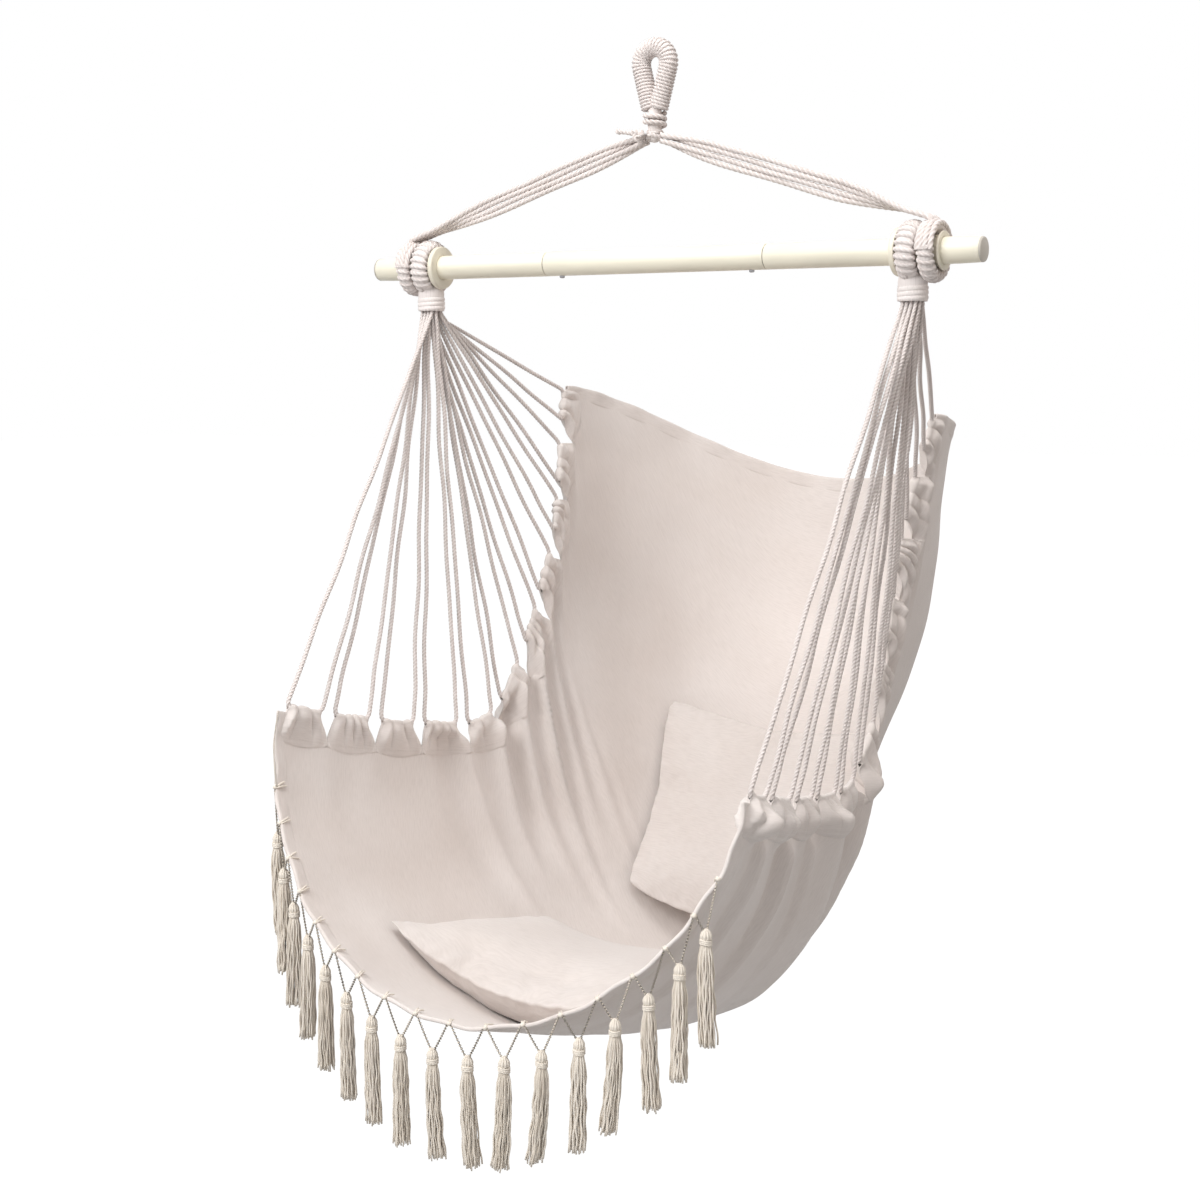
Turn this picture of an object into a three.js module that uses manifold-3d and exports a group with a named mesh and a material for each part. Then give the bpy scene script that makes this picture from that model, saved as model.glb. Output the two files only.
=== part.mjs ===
// Hammock chair: a cotton cloth seat, gathered along both sides into bunches that hang on cords from
// rope loops, which ride on a three-piece metal bar. A bridle of cords lifts the bar to a rope eye.
// Millimetres, +Z up, +X along the bar, -Y where the sitter's knees are. The origin is the point
// inside the eye where a hook bears.
import * as THREE from "three";
import { mergeVertices } from "three/addons/utils/BufferGeometryUtils.js";
import Module from "manifold-3d";

// Driving dimensions: the bar.
const barLength = 1000;
const barDiameter = 36;
const barWall = 1.5;
const barDrop = 286;
const middleTubeLength = 364;
const spigotLength = 45;
const barEndTaperLength = 50;
const barEndDiameter = 34;
const capLipThickness = 3;
const capPlugLength = 14;
const buttonInset = 24;
const buttonDiameter = 8;
const buttonStandOut = 3.5;
const springWidth = 6;
const springThickness = 0.8;
const springLength = 34;

// Driving dimensions: bushes, rope loops and the eye.
const touchGap = 0.3;
const bushBarrelDiameter = 42;
const bushCollarDiameter = 65;
const bushCollarThickness = 8;
const bushFlangeDiameter = 52;
const bushFlangeThickness = 3;
const bushCollarPlace = 376;
const whipDiameter = 2.7;
const loopCoreHeight = 15.2;
const seatLoopCoreWidth = 24.6;
const bridleLoopCoreWidth = 18.8;
const eyeCoreDiameter = 21;
const eyeBendRadius = 22.5;
const eyeFootSpread = 13;
const eyeFootDrop = 72;
const neckStemDiameter = 20;
const neckPivotDrop = 109.5;
const wrapRopeDiameter = 7.6;
const wrapPitch = 8.4;
const wrapDrop = 79.5;
const strandDiameter = 8;
const strandPitch = 8.4;
const knotDiameter = 22;
const knotTailLength = 26;
const knotTailDiameter = 9;

// Driving dimensions: harness cords and their necks.
const cordDiameter = 5;
const slotPitch = 6.2;
const exitStagger = 4;
const exitDrop = 2.5;
const neckDiameter = 42;
const neckBoreDiameter = 35.6;
const neckTop = 44.5;
const neckBottom = 66;
const neckRoof = 4;
const neckStubDiameter = 24;

// Driving dimensions: the cloth, its cushions and its tassels.
const clothThickness = 2;
const seatWidth = 732;
const seatDepth = 1175;
const seatDrop = 1132;
const sideLean = 22;
const notchDepth = 28;
const foldHeight = 10;
const clothHalfWidth = 560;
const sidePouch = 10;
const backPouch = 24;
const elbowDraw = 50;
const seatCushionThickness = 120;
const backCushionThickness = 106;
const cushionClearance = 8.4;
const seatCushionLift = 16;
const backCushionLift = 13.2;
const tasselPitch = 53;
const tasselCornerInset = 112;
const threadDiameter = 3;
const threadDrop = 41;
const hemClearance = 0.5;
const tasselHeadDiameter = 18;
const tasselNeckDiameter = 14;
const tasselHeadHeight = 20;
const tasselNeckHeight = 10;
const skirtLength = 112;
const skirtTopDiameter = 18;
const skirtBottomDiameter = 24;

// Counts.
const bunchCount = 11;
const tasselCount = 17;
const eyeLoops = 15;
const seatLoopTurns = 11;
const bridleLoopTurns = 8;
const wrapTurns = 2;

const wasm = await Module();
wasm.setup();
const weldDistance = 1e-3;
const overrun = 40;
const up = new THREE.Vector3(0, 0, 1);

const cotton = new THREE.MeshStandardMaterial({ color: 0xe0d6d0, roughness: 0.95 });
const rope = new THREE.MeshStandardMaterial({ color: 0xdcd2cc, roughness: 0.95 });
const fringe = new THREE.MeshStandardMaterial({ color: 0xd8ccba, roughness: 0.95 });
const paint = new THREE.MeshStandardMaterial({ color: 0xe8e0c8, roughness: 0.45 });
const plastic = new THREE.MeshStandardMaterial({ color: 0xe2dcc4, roughness: 0.5 });
const steel = new THREE.MeshStandardMaterial({ color: 0xb4b4b6, roughness: 0.3, metalness: 0.9 });

// A closed mesh as a solid that can be joined and cut, and back again.
function toSolid(geometry) {
  const bare = geometry.clone();
  bare.deleteAttribute("normal");
  bare.deleteAttribute("uv");
  const merged = mergeVertices(bare, weldDistance);
  const vertProperties = merged.attributes.position.array;
  const triVerts = new Uint32Array(merged.index.array);
  return new wasm.Manifold(new wasm.Mesh({ numProp: 3, vertProperties, triVerts }));
}

function toGeometry(solid) {
  const made = solid.getMesh();
  const geometry = new THREE.BufferGeometry();
  geometry.setAttribute("position", new THREE.BufferAttribute(made.vertProperties, 3));
  geometry.setIndex(new THREE.BufferAttribute(made.triVerts, 1));
  geometry.computeVertexNormals();
  return geometry;
}

function join(...geometries) {
  return toGeometry(geometries.map(toSolid).reduce((whole, piece) => whole.add(piece)));
}

function cut(geometry, ...tools) {
  return toGeometry(tools.map(toSolid).reduce((whole, tool) => whole.subtract(tool), toSolid(geometry)));
}

// A route through points chosen or worked out one by one, square to its bends at each of them.
class Route extends THREE.Curve {
  constructor(points) {
    super();
    this.points = points;
  }

  getSpacedPoints() {
    return this.points;
  }

  getTangentAt(share) {
    const last = this.points.length - 1;
    const i = Math.round(share * last);
    const into = this.points[Math.max(i, 1)].clone().sub(this.points[Math.max(i, 1) - 1]);
    const outOf = this.points[Math.min(i, last - 1) + 1].clone().sub(this.points[Math.min(i, last - 1)]);
    return into.normalize().add(outOf.normalize()).normalize();
  }
}

function tube(points, diameter, sides) {
  const corners = Array.from({ length: sides }, (_, i) => {
    const turn = (2 * Math.PI * i) / sides;
    return new THREE.Vector2(Math.cos(turn), Math.sin(turn)).multiplyScalar(diameter / 2);
  });
  const extrudePath = new Route(points);
  return new THREE.ExtrudeGeometry(new THREE.Shape(corners), { steps: points.length - 1, extrudePath });
}

// A profile of [radius, place along the axis] turned about X or Z.
function turned(profile, sides, axis) {
  const points = profile.map(([radius, along]) => new THREE.Vector2(radius, along));
  if (THREE.ShapeUtils.area(points) < 0) points.reverse();
  const geometry = new THREE.LatheGeometry(points, sides);
  return axis === "x" ? geometry.rotateZ(-Math.PI / 2) : geometry.rotateX(Math.PI / 2);
}

const chair = new THREE.Group();
const hung = new THREE.Group();
hung.position.z = -barDrop;
chair.add(hung);

function place(name, geometry, material, group = hung) {
  const mesh = new THREE.Mesh(geometry, material);
  mesh.name = name;
  group.add(mesh);
}

const sides = [
  { name: "left", sign: -1 },
  { name: "right", sign: 1 },
];

// The least gap between turns of a winding, measured between its points at least half a turn apart.
function leastGap(name, points, perTurn, diameter) {
  let least = Infinity;
  points.forEach((point, i) => {
    for (let j = i + Math.ceil(perTurn / 2); j < points.length; j += 1) {
      least = Math.min(least, point.distanceTo(points[j]) - diameter);
    }
  });
  console.log(`${name}: least gap between turns ${least.toFixed(2)} mm`);
}

const whipSteps = 8;
const whipSides = 5;
const whipChord = Math.cos(Math.PI / whipSteps);
// How far a whipping's centre lies from the middle of a core of this size, with its chords clear of it.
const whipOrbit = (coreSize) => (coreSize / 2 + touchGap + whipDiameter / 2) / whipChord;
const whippedSize = (coreSize) => 2 * whipOrbit(coreSize) + whipDiameter;

// The bar: a middle tube, and two outer tubes whose necked-down spigots slide into it.
const barRadius = barDiameter / 2;
const tubeSides = 16;
const tubeChord = Math.cos(Math.PI / tubeSides);
const spigotRadius = (barRadius - barWall) * tubeChord - touchGap;
const seam = middleTubeLength / 2;
const capPlace = barLength / 2 - capLipThickness;
const buttonPlace = seam - buttonInset;

function buttonHole(sign) {
  const hole = new THREE.CylinderGeometry(1, 1, 1, 12).rotateX(Math.PI / 2);
  const radius = buttonDiameter / 2 + touchGap;
  return hole.scale(radius, radius, barDiameter).translate(sign * buttonPlace, 0, -barRadius);
}

function makeBar() {
  const bore = barRadius - barWall;
  const middle = turned(
    [[barRadius, -seam], [barRadius, seam], [bore, seam], [bore, -seam], [barRadius, -seam]],
    tubeSides,
    "x",
  );
  place("bar_tube_middle", cut(middle, buttonHole(1), buttonHole(-1)), paint);
  const shoulder = seam + touchGap;
  const taperStart = capPlace - barEndTaperLength;
  const endRadius = barEndDiameter / 2;
  for (const { name, sign } of sides) {
    const outline = [
      [spigotRadius, seam - spigotLength],
      [spigotRadius, shoulder],
      [barRadius, shoulder],
      [barRadius, taperStart],
      [endRadius, capPlace - touchGap],
      [endRadius - barWall, capPlace - touchGap],
      [bore, taperStart],
      [bore, shoulder + barWall],
      [spigotRadius - barWall, shoulder + barWall],
      [spigotRadius - barWall, seam - spigotLength],
      [spigotRadius, seam - spigotLength],
    ];
    const outer = turned(outline.map(([radius, along]) => [radius, sign * along]), tubeSides, "x");
    place(`bar_tube_${name}`, cut(outer, buttonHole(sign)), paint);
  }
}

function makeEndCaps() {
  const lip = barEndDiameter / 2;
  const plug = (lip - barWall) * tubeChord - touchGap;
  const plugEndShare = 0.94;
  const roundShare = 0.35;
  const profile = [
    [0, capPlace - capPlugLength],
    [plug * plugEndShare, capPlace - capPlugLength],
    [plug, capPlace - capPlugLength * plugEndShare],
    [plug, capPlace],
    [lip, capPlace],
    [lip, capPlace + capLipThickness * roundShare],
    [lip - capLipThickness * roundShare, capPlace + capLipThickness],
    [0, capPlace + capLipThickness],
  ];
  for (const { name, sign } of sides) {
    const cap = turned(profile.map(([radius, along]) => [radius, sign * along]), tubeSides, "x");
    place(`end_cap_${name}`, cap, plastic);
  }
}

// A snap button stands through both walls; its bent leaf presses on the far side of the spigot.
function makeSnapButtons() {
  const inside = spigotRadius - barWall;
  const head = buttonDiameter / 2;
  const footRadius = head + springThickness;
  const footThickness = 2 * springThickness;
  const footWall = Math.sqrt((inside * tubeChord) ** 2 - footRadius ** 2);
  const footTop = -footWall + touchGap + footThickness;
  const crownShare = 0.6;
  const profile = [
    [0, footTop],
    [footRadius, footTop],
    [footRadius, footTop - footThickness],
    [head, footTop - footThickness],
    [head, -barRadius - buttonStandOut * crownShare],
    [head * crownShare, -barRadius - buttonStandOut],
    [0, -barRadius - buttonStandOut],
  ];
  const pinClearance = touchGap + springThickness / 2;
  for (const { name, sign } of sides) {
    const centre = sign * buttonPlace;
    place(`snap_button_${name}`, turned(profile, 12, "z").translate(centre, 0, 0), steel);
    const low = footTop + pinClearance;
    const high = Math.sqrt(inside ** 2 - (springWidth / 2) ** 2) - pinClearance - touchGap;
    const leaf = [
      [-footRadius, low],
      [footRadius, low],
      [springLength - footRadius - springWidth / 2, low + springThickness],
      [springLength - footRadius, (low + high) / 2],
      [springLength - footRadius - springWidth / 2, high - springThickness],
      [footRadius, high],
      [-footRadius, high],
    ];
    place(`snap_spring_${name}`, strip(leaf, springThickness, springWidth, centre, sign), steel);
  }
}

// A flat strip bent along points in the XZ plane.
function strip(points, thickness, width, centre, sign) {
  const offset = points.map(([x, z], i) => {
    const [x0, z0] = points[Math.max(i - 1, 0)];
    const [x1, z1] = points[Math.min(i + 1, points.length - 1)];
    const run = Math.hypot(x1 - x0, z1 - z0);
    return [(-(z1 - z0) / run) * (thickness / 2), ((x1 - x0) / run) * (thickness / 2)];
  });
  const over = points.map(([x, z], i) => new THREE.Vector2(x + offset[i][0], z + offset[i][1]));
  const under = points.map(([x, z], i) => new THREE.Vector2(x - offset[i][0], z - offset[i][1]));
  const shape = new THREE.Shape([...over, ...under.reverse()]);
  const geometry = new THREE.ExtrudeGeometry(shape, { depth: width, bevelEnabled: false });
  geometry.translate(0, 0, -width / 2).rotateX(Math.PI / 2);
  if (sign < 0) geometry.rotateZ(Math.PI);
  return geometry.translate(centre, 0, 0);
}

// Bushes: a thick chamfered collar inside, a barrel that the rope loops turn on, a thin flange outside.
const bushRadius = bushBarrelDiameter / 2;
const collarEnd = bushCollarPlace + bushCollarThickness;
const seatLoopWidth = whippedSize(seatLoopCoreWidth);
const bridleLoopWidth = whippedSize(bridleLoopCoreWidth);
const loopHeight = whippedSize(loopCoreHeight);
const loopRadius = bushRadius + touchGap + loopHeight / 2;
const seatLoopPlace = collarEnd + touchGap + seatLoopWidth / 2;
const bridleLoopPlace = seatLoopPlace + seatLoopWidth / 2 + touchGap + bridleLoopWidth / 2;
const flangePlace = bridleLoopPlace + bridleLoopWidth / 2 + touchGap;

function makeBushes() {
  const bore = (barRadius + touchGap) / tubeChord;
  const collar = bushCollarDiameter / 2;
  const flange = bushFlangeDiameter / 2;
  const flangeEnd = flangePlace + bushFlangeThickness;
  const chamfer = bushCollarThickness / 4;
  const outline = [
    [bore, flangeEnd],
    [bore, bushCollarPlace + chamfer],
    [bore + chamfer, bushCollarPlace],
    [collar - chamfer, bushCollarPlace],
    [collar, bushCollarPlace + chamfer],
    [collar, collarEnd],
    [bushRadius, collarEnd],
    [bushRadius, flangePlace],
    [flange, flangePlace],
    [flange, flangeEnd],
    [bore, flangeEnd],
  ];
  for (const { name, sign } of sides) {
    const bush = turned(outline.map(([radius, along]) => [radius, sign * along]), tubeSides, "x");
    place(`bush_${name}`, bush, plastic);
  }
}

// A rope ring round the bar, of an oval core.
function ropeRing(width, centre) {
  const sectionSides = 8;
  const profile = Array.from({ length: sectionSides + 1 }, (_, i) => {
    const turn = (2 * Math.PI * i) / sectionSides;
    return [loopRadius + (Math.sin(turn) * loopCoreHeight) / 2, centre + (Math.cos(turn) * width) / 2];
  });
  return turned(profile, 16, "x");
}

// A whipping wound round a ring's core, from one ring angle to another, measured from straight down.
function ringWhipping(name, coreWidth, centre, from, to, turns) {
  const count = Math.round(turns * whipSteps);
  const halfWidth = whipOrbit(coreWidth);
  const halfHeight = whipOrbit(loopCoreHeight);
  const points = Array.from({ length: count + 1 }, (_, i) => {
    const ringAngle = from + ((to - from) * i) / count;
    const wind = (2 * Math.PI * i) / whipSteps;
    const radius = loopRadius + halfHeight * Math.cos(wind);
    const y = radius * Math.sin(ringAngle);
    const z = -radius * Math.cos(ringAngle);
    return new THREE.Vector3(centre + halfWidth * Math.sin(wind), y, z);
  });
  leastGap(name, points, whipSteps, whipDiameter);
  place(name, tube(points, whipDiameter, whipSides), rope);
}

const whipFootAngle = (37 * Math.PI) / 180;
const bridleWhipAngle = (105 * Math.PI) / 180;

// The seat's loops: a ring and, under it, the wrapped neck whose bore takes the ends of the cords.
function makeSeatLoops() {
  const neck = neckDiameter / 2;
  const bore = neckBoreDiameter / 2;
  const stub = neckStubDiameter / 2;
  const wrapRidge = (neck - bore) / 4;
  const ridges = 3;
  const neckHeight = neckBottom - neckTop;
  for (const { name, sign } of sides) {
    const ridged = Array.from({ length: 2 * ridges + 1 }, (_, i) => {
      const along = -neckTop - (neckHeight * i) / (2 * ridges);
      return [i % 2 ? neck : neck - wrapRidge, along];
    });
    const profile = [
      [0, -loopRadius],
      [stub, -loopRadius],
      [stub, -neckTop],
      ...ridged,
      [bore, -neckBottom],
      [bore, -neckTop - neckRoof],
      [0, -neckTop - neckRoof],
    ];
    const centre = sign * seatLoopPlace;
    const ring = ropeRing(seatLoopCoreWidth, centre);
    const band = turned(profile, 16, "z").translate(centre, 0, 0);
    place(`seat_loop_${name}`, join(ring, band), rope);
    const to = 2 * Math.PI - whipFootAngle;
    ringWhipping(`seat_whipping_${name}`, seatLoopCoreWidth, centre, whipFootAngle, to, seatLoopTurns);
  }
}

// The bridle: four strands a side, bunched at the neck, stacked along the span, flat over the loop.
const pivotHeight = barDrop - neckPivotDrop;

function makeBridle() {
  const half = strandPitch / 2;
  const ballSides = 12;
  const ballRings = 8;
  const ballChord = Math.cos(Math.PI / ballSides) * Math.cos(Math.PI / (2 * ballRings));
  const ballRoom = (neckStemDiameter / 2 + touchGap) / ballChord;
  const loopTop = bushRadius + touchGap + loopHeight;
  const ribbonHeight = loopTop + strandDiameter / 2;
  const start = new THREE.Vector3(0, 0, pivotHeight);
  const end = new THREE.Vector3(bridleLoopPlace - bridleLoopWidth / 2, 0, ribbonHeight + touchGap);
  const along = (share) => start.clone().lerp(end, share);
  const bunchedShare = 0.05;
  const stackedShare = 0.19;
  const unstackedShare = 0.74;
  const flatShare = 0.93;
  for (const { name, sign } of sides) {
    let whole = toSolid(ropeRing(bridleLoopCoreWidth, sign * bridleLoopPlace));
    for (let i = 0; i < 4; i += 1) {
      const bunched = new THREE.Vector3(0, i % 2 ? half : -half, i < 2 ? half : -half);
      const stacked = new THREE.Vector3(0, 0, (3 - 2 * i) * half);
      const flat = new THREE.Vector3(0, (2 * i - 3) * half, 0);
      const points = [
        along(0).add(bunched),
        along(bunchedShare).add(bunched),
        along(stackedShare).add(stacked),
        along(unstackedShare).add(stacked),
        along(flatShare).add(flat),
        along(1).add(flat),
        new THREE.Vector3(bridleLoopPlace, flat.y, loopTop),
        new THREE.Vector3(bridleLoopPlace, flat.y, loopRadius),
      ];
      points.forEach((point) => point.setX(sign * point.x));
      whole = whole.add(toSolid(tube(points, strandDiameter, 6)));
    }
    const ball = new THREE.SphereGeometry(ballRoom, ballSides, ballRings).translate(0, 0, pivotHeight);
    const farSide = new THREE.BoxGeometry(overrun, overrun, overrun);
    farSide.translate(sign * (touchGap / 2 - overrun / 2), 0, pivotHeight);
    whole = whole.subtract(toSolid(ball)).subtract(toSolid(farSide));
    place(`bridle_${name}`, toGeometry(whole), rope);
    const centre = sign * bridleLoopPlace;
    const to = bridleWhipAngle;
    ringWhipping(`bridle_whipping_${name}`, bridleLoopCoreWidth, centre, -to, to, bridleLoopTurns);
  }
}

// The eye's centre line: a foot, a straight, the bend over the hook, a straight and a foot.
const eyeHalf = whippedSize(eyeCoreDiameter) / 2;
const eyeCentreHeight = eyeHalf - eyeBendRadius;
const eyeFoot = new THREE.Vector2(eyeFootSpread / 2, -eyeFootDrop);

function eyeOutline(bendSteps) {
  const toFoot = eyeFoot.clone().sub(new THREE.Vector2(0, eyeCentreHeight));
  const tangentTurn = toFoot.angle() + Math.acos(eyeBendRadius / toFoot.length()) - 2 * Math.PI;
  const bend = Array.from({ length: bendSteps + 1 }, (_, i) => {
    const turn = tangentTurn + ((Math.PI - 2 * tangentTurn) * i) / bendSteps;
    const x = eyeBendRadius * Math.cos(turn);
    return new THREE.Vector3(x, 0, eyeCentreHeight + eyeBendRadius * Math.sin(turn));
  });
  const rightFoot = new THREE.Vector3(eyeFoot.x, 0, eyeFoot.y);
  const leftFoot = new THREE.Vector3(-eyeFoot.x, 0, eyeFoot.y);
  return [rightFoot, ...bend, leftFoot];
}

function makeEye() {
  const stem = neckStemDiameter / 2;
  const stemTopShare = 0.85;
  const ballSteps = 6;
  const ballTop = (35 * Math.PI) / 180;
  const ball = Array.from({ length: ballSteps + 1 }, (_, i) => {
    const turn = ballTop + ((Math.PI - ballTop) * i) / ballSteps;
    return [i < ballSteps ? stem * Math.sin(turn) : 0, stem * Math.cos(turn) - neckPivotDrop];
  });
  const shoulder = -wrapDrop - wrapTurns * wrapPitch;
  const stemTop = -eyeFootDrop * stemTopShare;
  const profile = [[0, stemTop], [stem, stemTop], [stem, shoulder], ...ball];
  const core = tube(eyeOutline(12), eyeCoreDiameter, 10);
  place("eye_rope", join(core, turned(profile, 16, "z")), rope, chair);
  const line = new THREE.CurvePath();
  const outline = eyeOutline(36);
  outline.slice(1).forEach((point, i) => line.add(new THREE.LineCurve3(outline[i], point)));
  const orbit = whipOrbit(eyeCoreDiameter);
  const length = line.getLength();
  const straight = outline[0].distanceTo(outline[1]);
  const legGap = 2 * touchGap;
  const spread = outline[1].x - outline[0].x;
  const bare = (straight * (eyeHalf + legGap - outline[0].x)) / spread;
  const count = eyeLoops * whipSteps;
  const points = Array.from({ length: count + 1 }, (_, i) => {
    const share = (bare + ((length - 2 * bare) * i) / count) / length;
    const tangent = line.getTangentAt(share);
    const side = new THREE.Vector3(-tangent.z, 0, tangent.x);
    const wind = (2 * Math.PI * i) / whipSteps;
    const point = line.getPointAt(share).addScaledVector(side, orbit * Math.cos(wind));
    return point.setY(orbit * Math.sin(wind));
  });
  leastGap("eye_whipping", points, whipSteps, whipDiameter);
  place("eye_whipping", tube(points, whipDiameter, whipSides), rope, chair);
}

function makeNeckWrap() {
  const steps = 14;
  const orbit = (neckStemDiameter / 2 + touchGap + wrapRopeDiameter / 2) / Math.cos(Math.PI / steps);
  const count = Math.round(wrapTurns * steps);
  const points = Array.from({ length: count + 1 }, (_, i) => {
    const turn = (2 * Math.PI * i) / steps;
    const z = -wrapDrop - (wrapPitch * i) / steps;
    return new THREE.Vector3(orbit * Math.cos(turn), orbit * Math.sin(turn), z);
  });
  leastGap("neck_wrap", points, steps, wrapRopeDiameter);
  place("neck_wrap", tube(points, wrapRopeDiameter, 6), rope, chair);
}

// The rope's free end, stopped with a knot that lies before the left leg, its tail to the left.
function makeStopperKnot() {
  const radius = knotDiameter / 2;
  const y = -(strandPitch / 2 + strandDiameter / 2 + touchGap + radius);
  const waistShare = 0.72;
  const sideShare = 1.5;
  const tilt = Math.PI / 5;
  const rings = [0.906, 0.72, 0.423];
  const profile = [
    [0, radius],
    [radius * rings[2], radius * rings[0]],
    [radius * rings[0], radius * rings[2]],
    [radius * waistShare, 0],
    [radius * rings[0], -radius * rings[2]],
    [radius * rings[2], -radius * rings[0]],
    [0, -radius],
  ];
  const knot = turned(profile, 12, "x").rotateZ(-tilt);
  const tail = tube(
    [
      new THREE.Vector3(0, 0, 0),
      new THREE.Vector3(-radius, 0, radius * rings[2]),
      new THREE.Vector3(-radius - knotTailLength, 0, radius * rings[1]),
    ],
    knotTailDiameter,
    8,
  );
  const whole = join(knot, tail).translate(-radius * sideShare, y, -neckPivotDrop);
  place("stopper_knot", whole, rope, chair);
}

// The cloth's side hem and its centre line, front to back, as shares of the seat's half width,
// depth and drop, measured from the middle of the bar.
const hemShares = [
  [1, -0.351, 0.574],
  [0.943, -0.223, 0.608],
  [0.888, -0.085, 0.634],
  [0.852, 0.017, 0.638],
  [0.842, 0.085, 0.574],
  [0.828, 0.136, 0.477],
  [0.825, 0.174, 0.371],
  [0.852, 0.2, 0.274],
  [0.891, 0.231, 0.181],
];
const centreShares = [
  [0, -0.464, 0.861],
  [0, -0.281, 0.928],
  [0, -0.085, 0.979],
  [0, 0.102, 1],
  [0, 0.234, 0.958],
  [0, 0.319, 0.866],
  [0, 0.387, 0.742],
  [0, 0.455, 0.583],
  [0, 0.508, 0.433],
  [0, 0.536, 0.305],
];
const seatPoint = ([x, y, z]) => new THREE.Vector3((x * seatWidth) / 2, y * seatDepth, -z * seatDrop);

// A smooth line through points, spread by their distances seen from the side.
function makeLine(points) {
  const reach = [0];
  points.slice(1).forEach((point, i) => {
    reach.push(reach[i] + Math.hypot(point.y - points[i].y, point.z - points[i].z));
  });
  return (share) => {
    const goal = share * reach[reach.length - 1];
    let i = reach.findIndex((value) => value > goal) - 1;
    if (i < 0) i = points.length - 2;
    const f = (goal - reach[i]) / (reach[i + 1] - reach[i]);
    const before = points[i - 1] || points[i].clone().multiplyScalar(2).sub(points[i + 1]);
    const after = points[i + 2] || points[i + 1].clone().multiplyScalar(2).sub(points[i]);
    const bend = (axis) => {
      const [p, q, r, s] = [before[axis], points[i][axis], points[i + 1][axis], after[axis]];
      const cubic = -p + 3 * q - 3 * r + s;
      return 0.5 * (2 * q + (r - p) * f + (2 * p - 5 * q + 4 * r - s) * f * f + cubic * f * f * f);
    };
    return new THREE.Vector3(bend("x"), bend("y"), bend("z"));
  };
}

const hemLine = makeLine(hemShares.map(seatPoint));
const centreLine = makeLine(centreShares.map(seatPoint));
const halfwayShare = 0.5;
const backStartShare = 0.45;
const pouchShares = { middle: 0.8, spread: 0.11 };
const elbowShares = { middle: 0.54, spread: 0.13 };
const depthPower = { front: 1.45, back: 1.15 };
const dropPower = { front: 1.2, back: 2.1 };
const swell = (s, shares) => Math.exp(-(((s - shares.middle) / shares.spread) ** 2));
const between = (power, share) => power.front + (power.back - power.front) * share;

// A point of the cloth: s runs from the front hem to the back one, u from the left side to the right.
function clothPoint(s, u) {
  const hem = hemLine(s);
  const centre = centreLine(s);
  const turn = (Math.abs(u) * Math.PI) / 2;
  const cosine = Math.max(Math.cos(turn), 0);
  const back = Math.max(0, (s - backStartShare) / (1 - backStartShare));
  const depthBend = cosine ** between(depthPower, Math.min(1, s / halfwayShare));
  const dropBend = cosine ** between(dropPower, back * back);
  const pouch = sidePouch + backPouch * swell(s, pouchShares) - elbowDraw * swell(s, elbowShares);
  const x = (hem.x * Math.sin(turn) + pouch * Math.sin(2 * turn)) * Math.sign(u);
  const y = hem.y + (centre.y - hem.y) * depthBend;
  const z = hem.z + (centre.z - hem.z) * dropBend;
  return new THREE.Vector3(x, y, z - (sideLean * x) / (seatWidth / 2));
}

// Rows across the cloth: each bunch has a notch before it, a start, a middle and an end.
const bunchStartShare = 0.1;
const bunchRowShares = [0, bunchStartShare, 0.5, 1 - bunchStartShare];
const rowPlaces = Array.from({ length: bunchCount * bunchRowShares.length + 1 }, (_, i) => {
  const within = bunchRowShares[i % bunchRowShares.length];
  return (Math.floor(i / bunchRowShares.length) + within) / bunchCount;
});
const columnShares = [-1, -0.93, -0.8, -0.6, -0.42, -0.2, 0, 0.2, 0.42, 0.6, 0.8, 0.93, 1];
const foldEndShare = 0.3;
const foldRiseShares = [-0.6, 0.2, 1, 0.2];
const foldPeakPower = 1.4;
const isNotch = (row) => row % bunchRowShares.length === 0 && row > 0 && row < rowPlaces.length - 1;

function edgeShare(row) {
  return isNotch(row) ? 1 - notchDepth / clothHalfWidth : 1;
}

function clothNormal(s, u) {
  const step = 0.01;
  const alongS = clothPoint(Math.min(s + step, 1), u).sub(clothPoint(Math.max(s - step, 0), u));
  const alongU = clothPoint(s, Math.min(u + step, 1)).sub(clothPoint(s, Math.max(u - step, -1)));
  return alongU.cross(alongS).normalize();
}

// The cloth with its folds, which run in from the notches and swell behind each bunch.
function foldedPoint(row, share) {
  const s = rowPlaces[row];
  const u = share * edgeShare(row);
  const inward = Math.max(0, (Math.abs(share) - foldEndShare) / (1 - foldEndShare));
  const reach = Math.sin(Math.PI * inward ** foldPeakPower);
  const within = row % bunchRowShares.length;
  const atHem = row < 2 || row > rowPlaces.length - 3;
  const height = atHem ? 0 : foldHeight * foldRiseShares[within];
  return clothPoint(s, u).addScaledVector(clothNormal(s, u), -height * reach);
}

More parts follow.
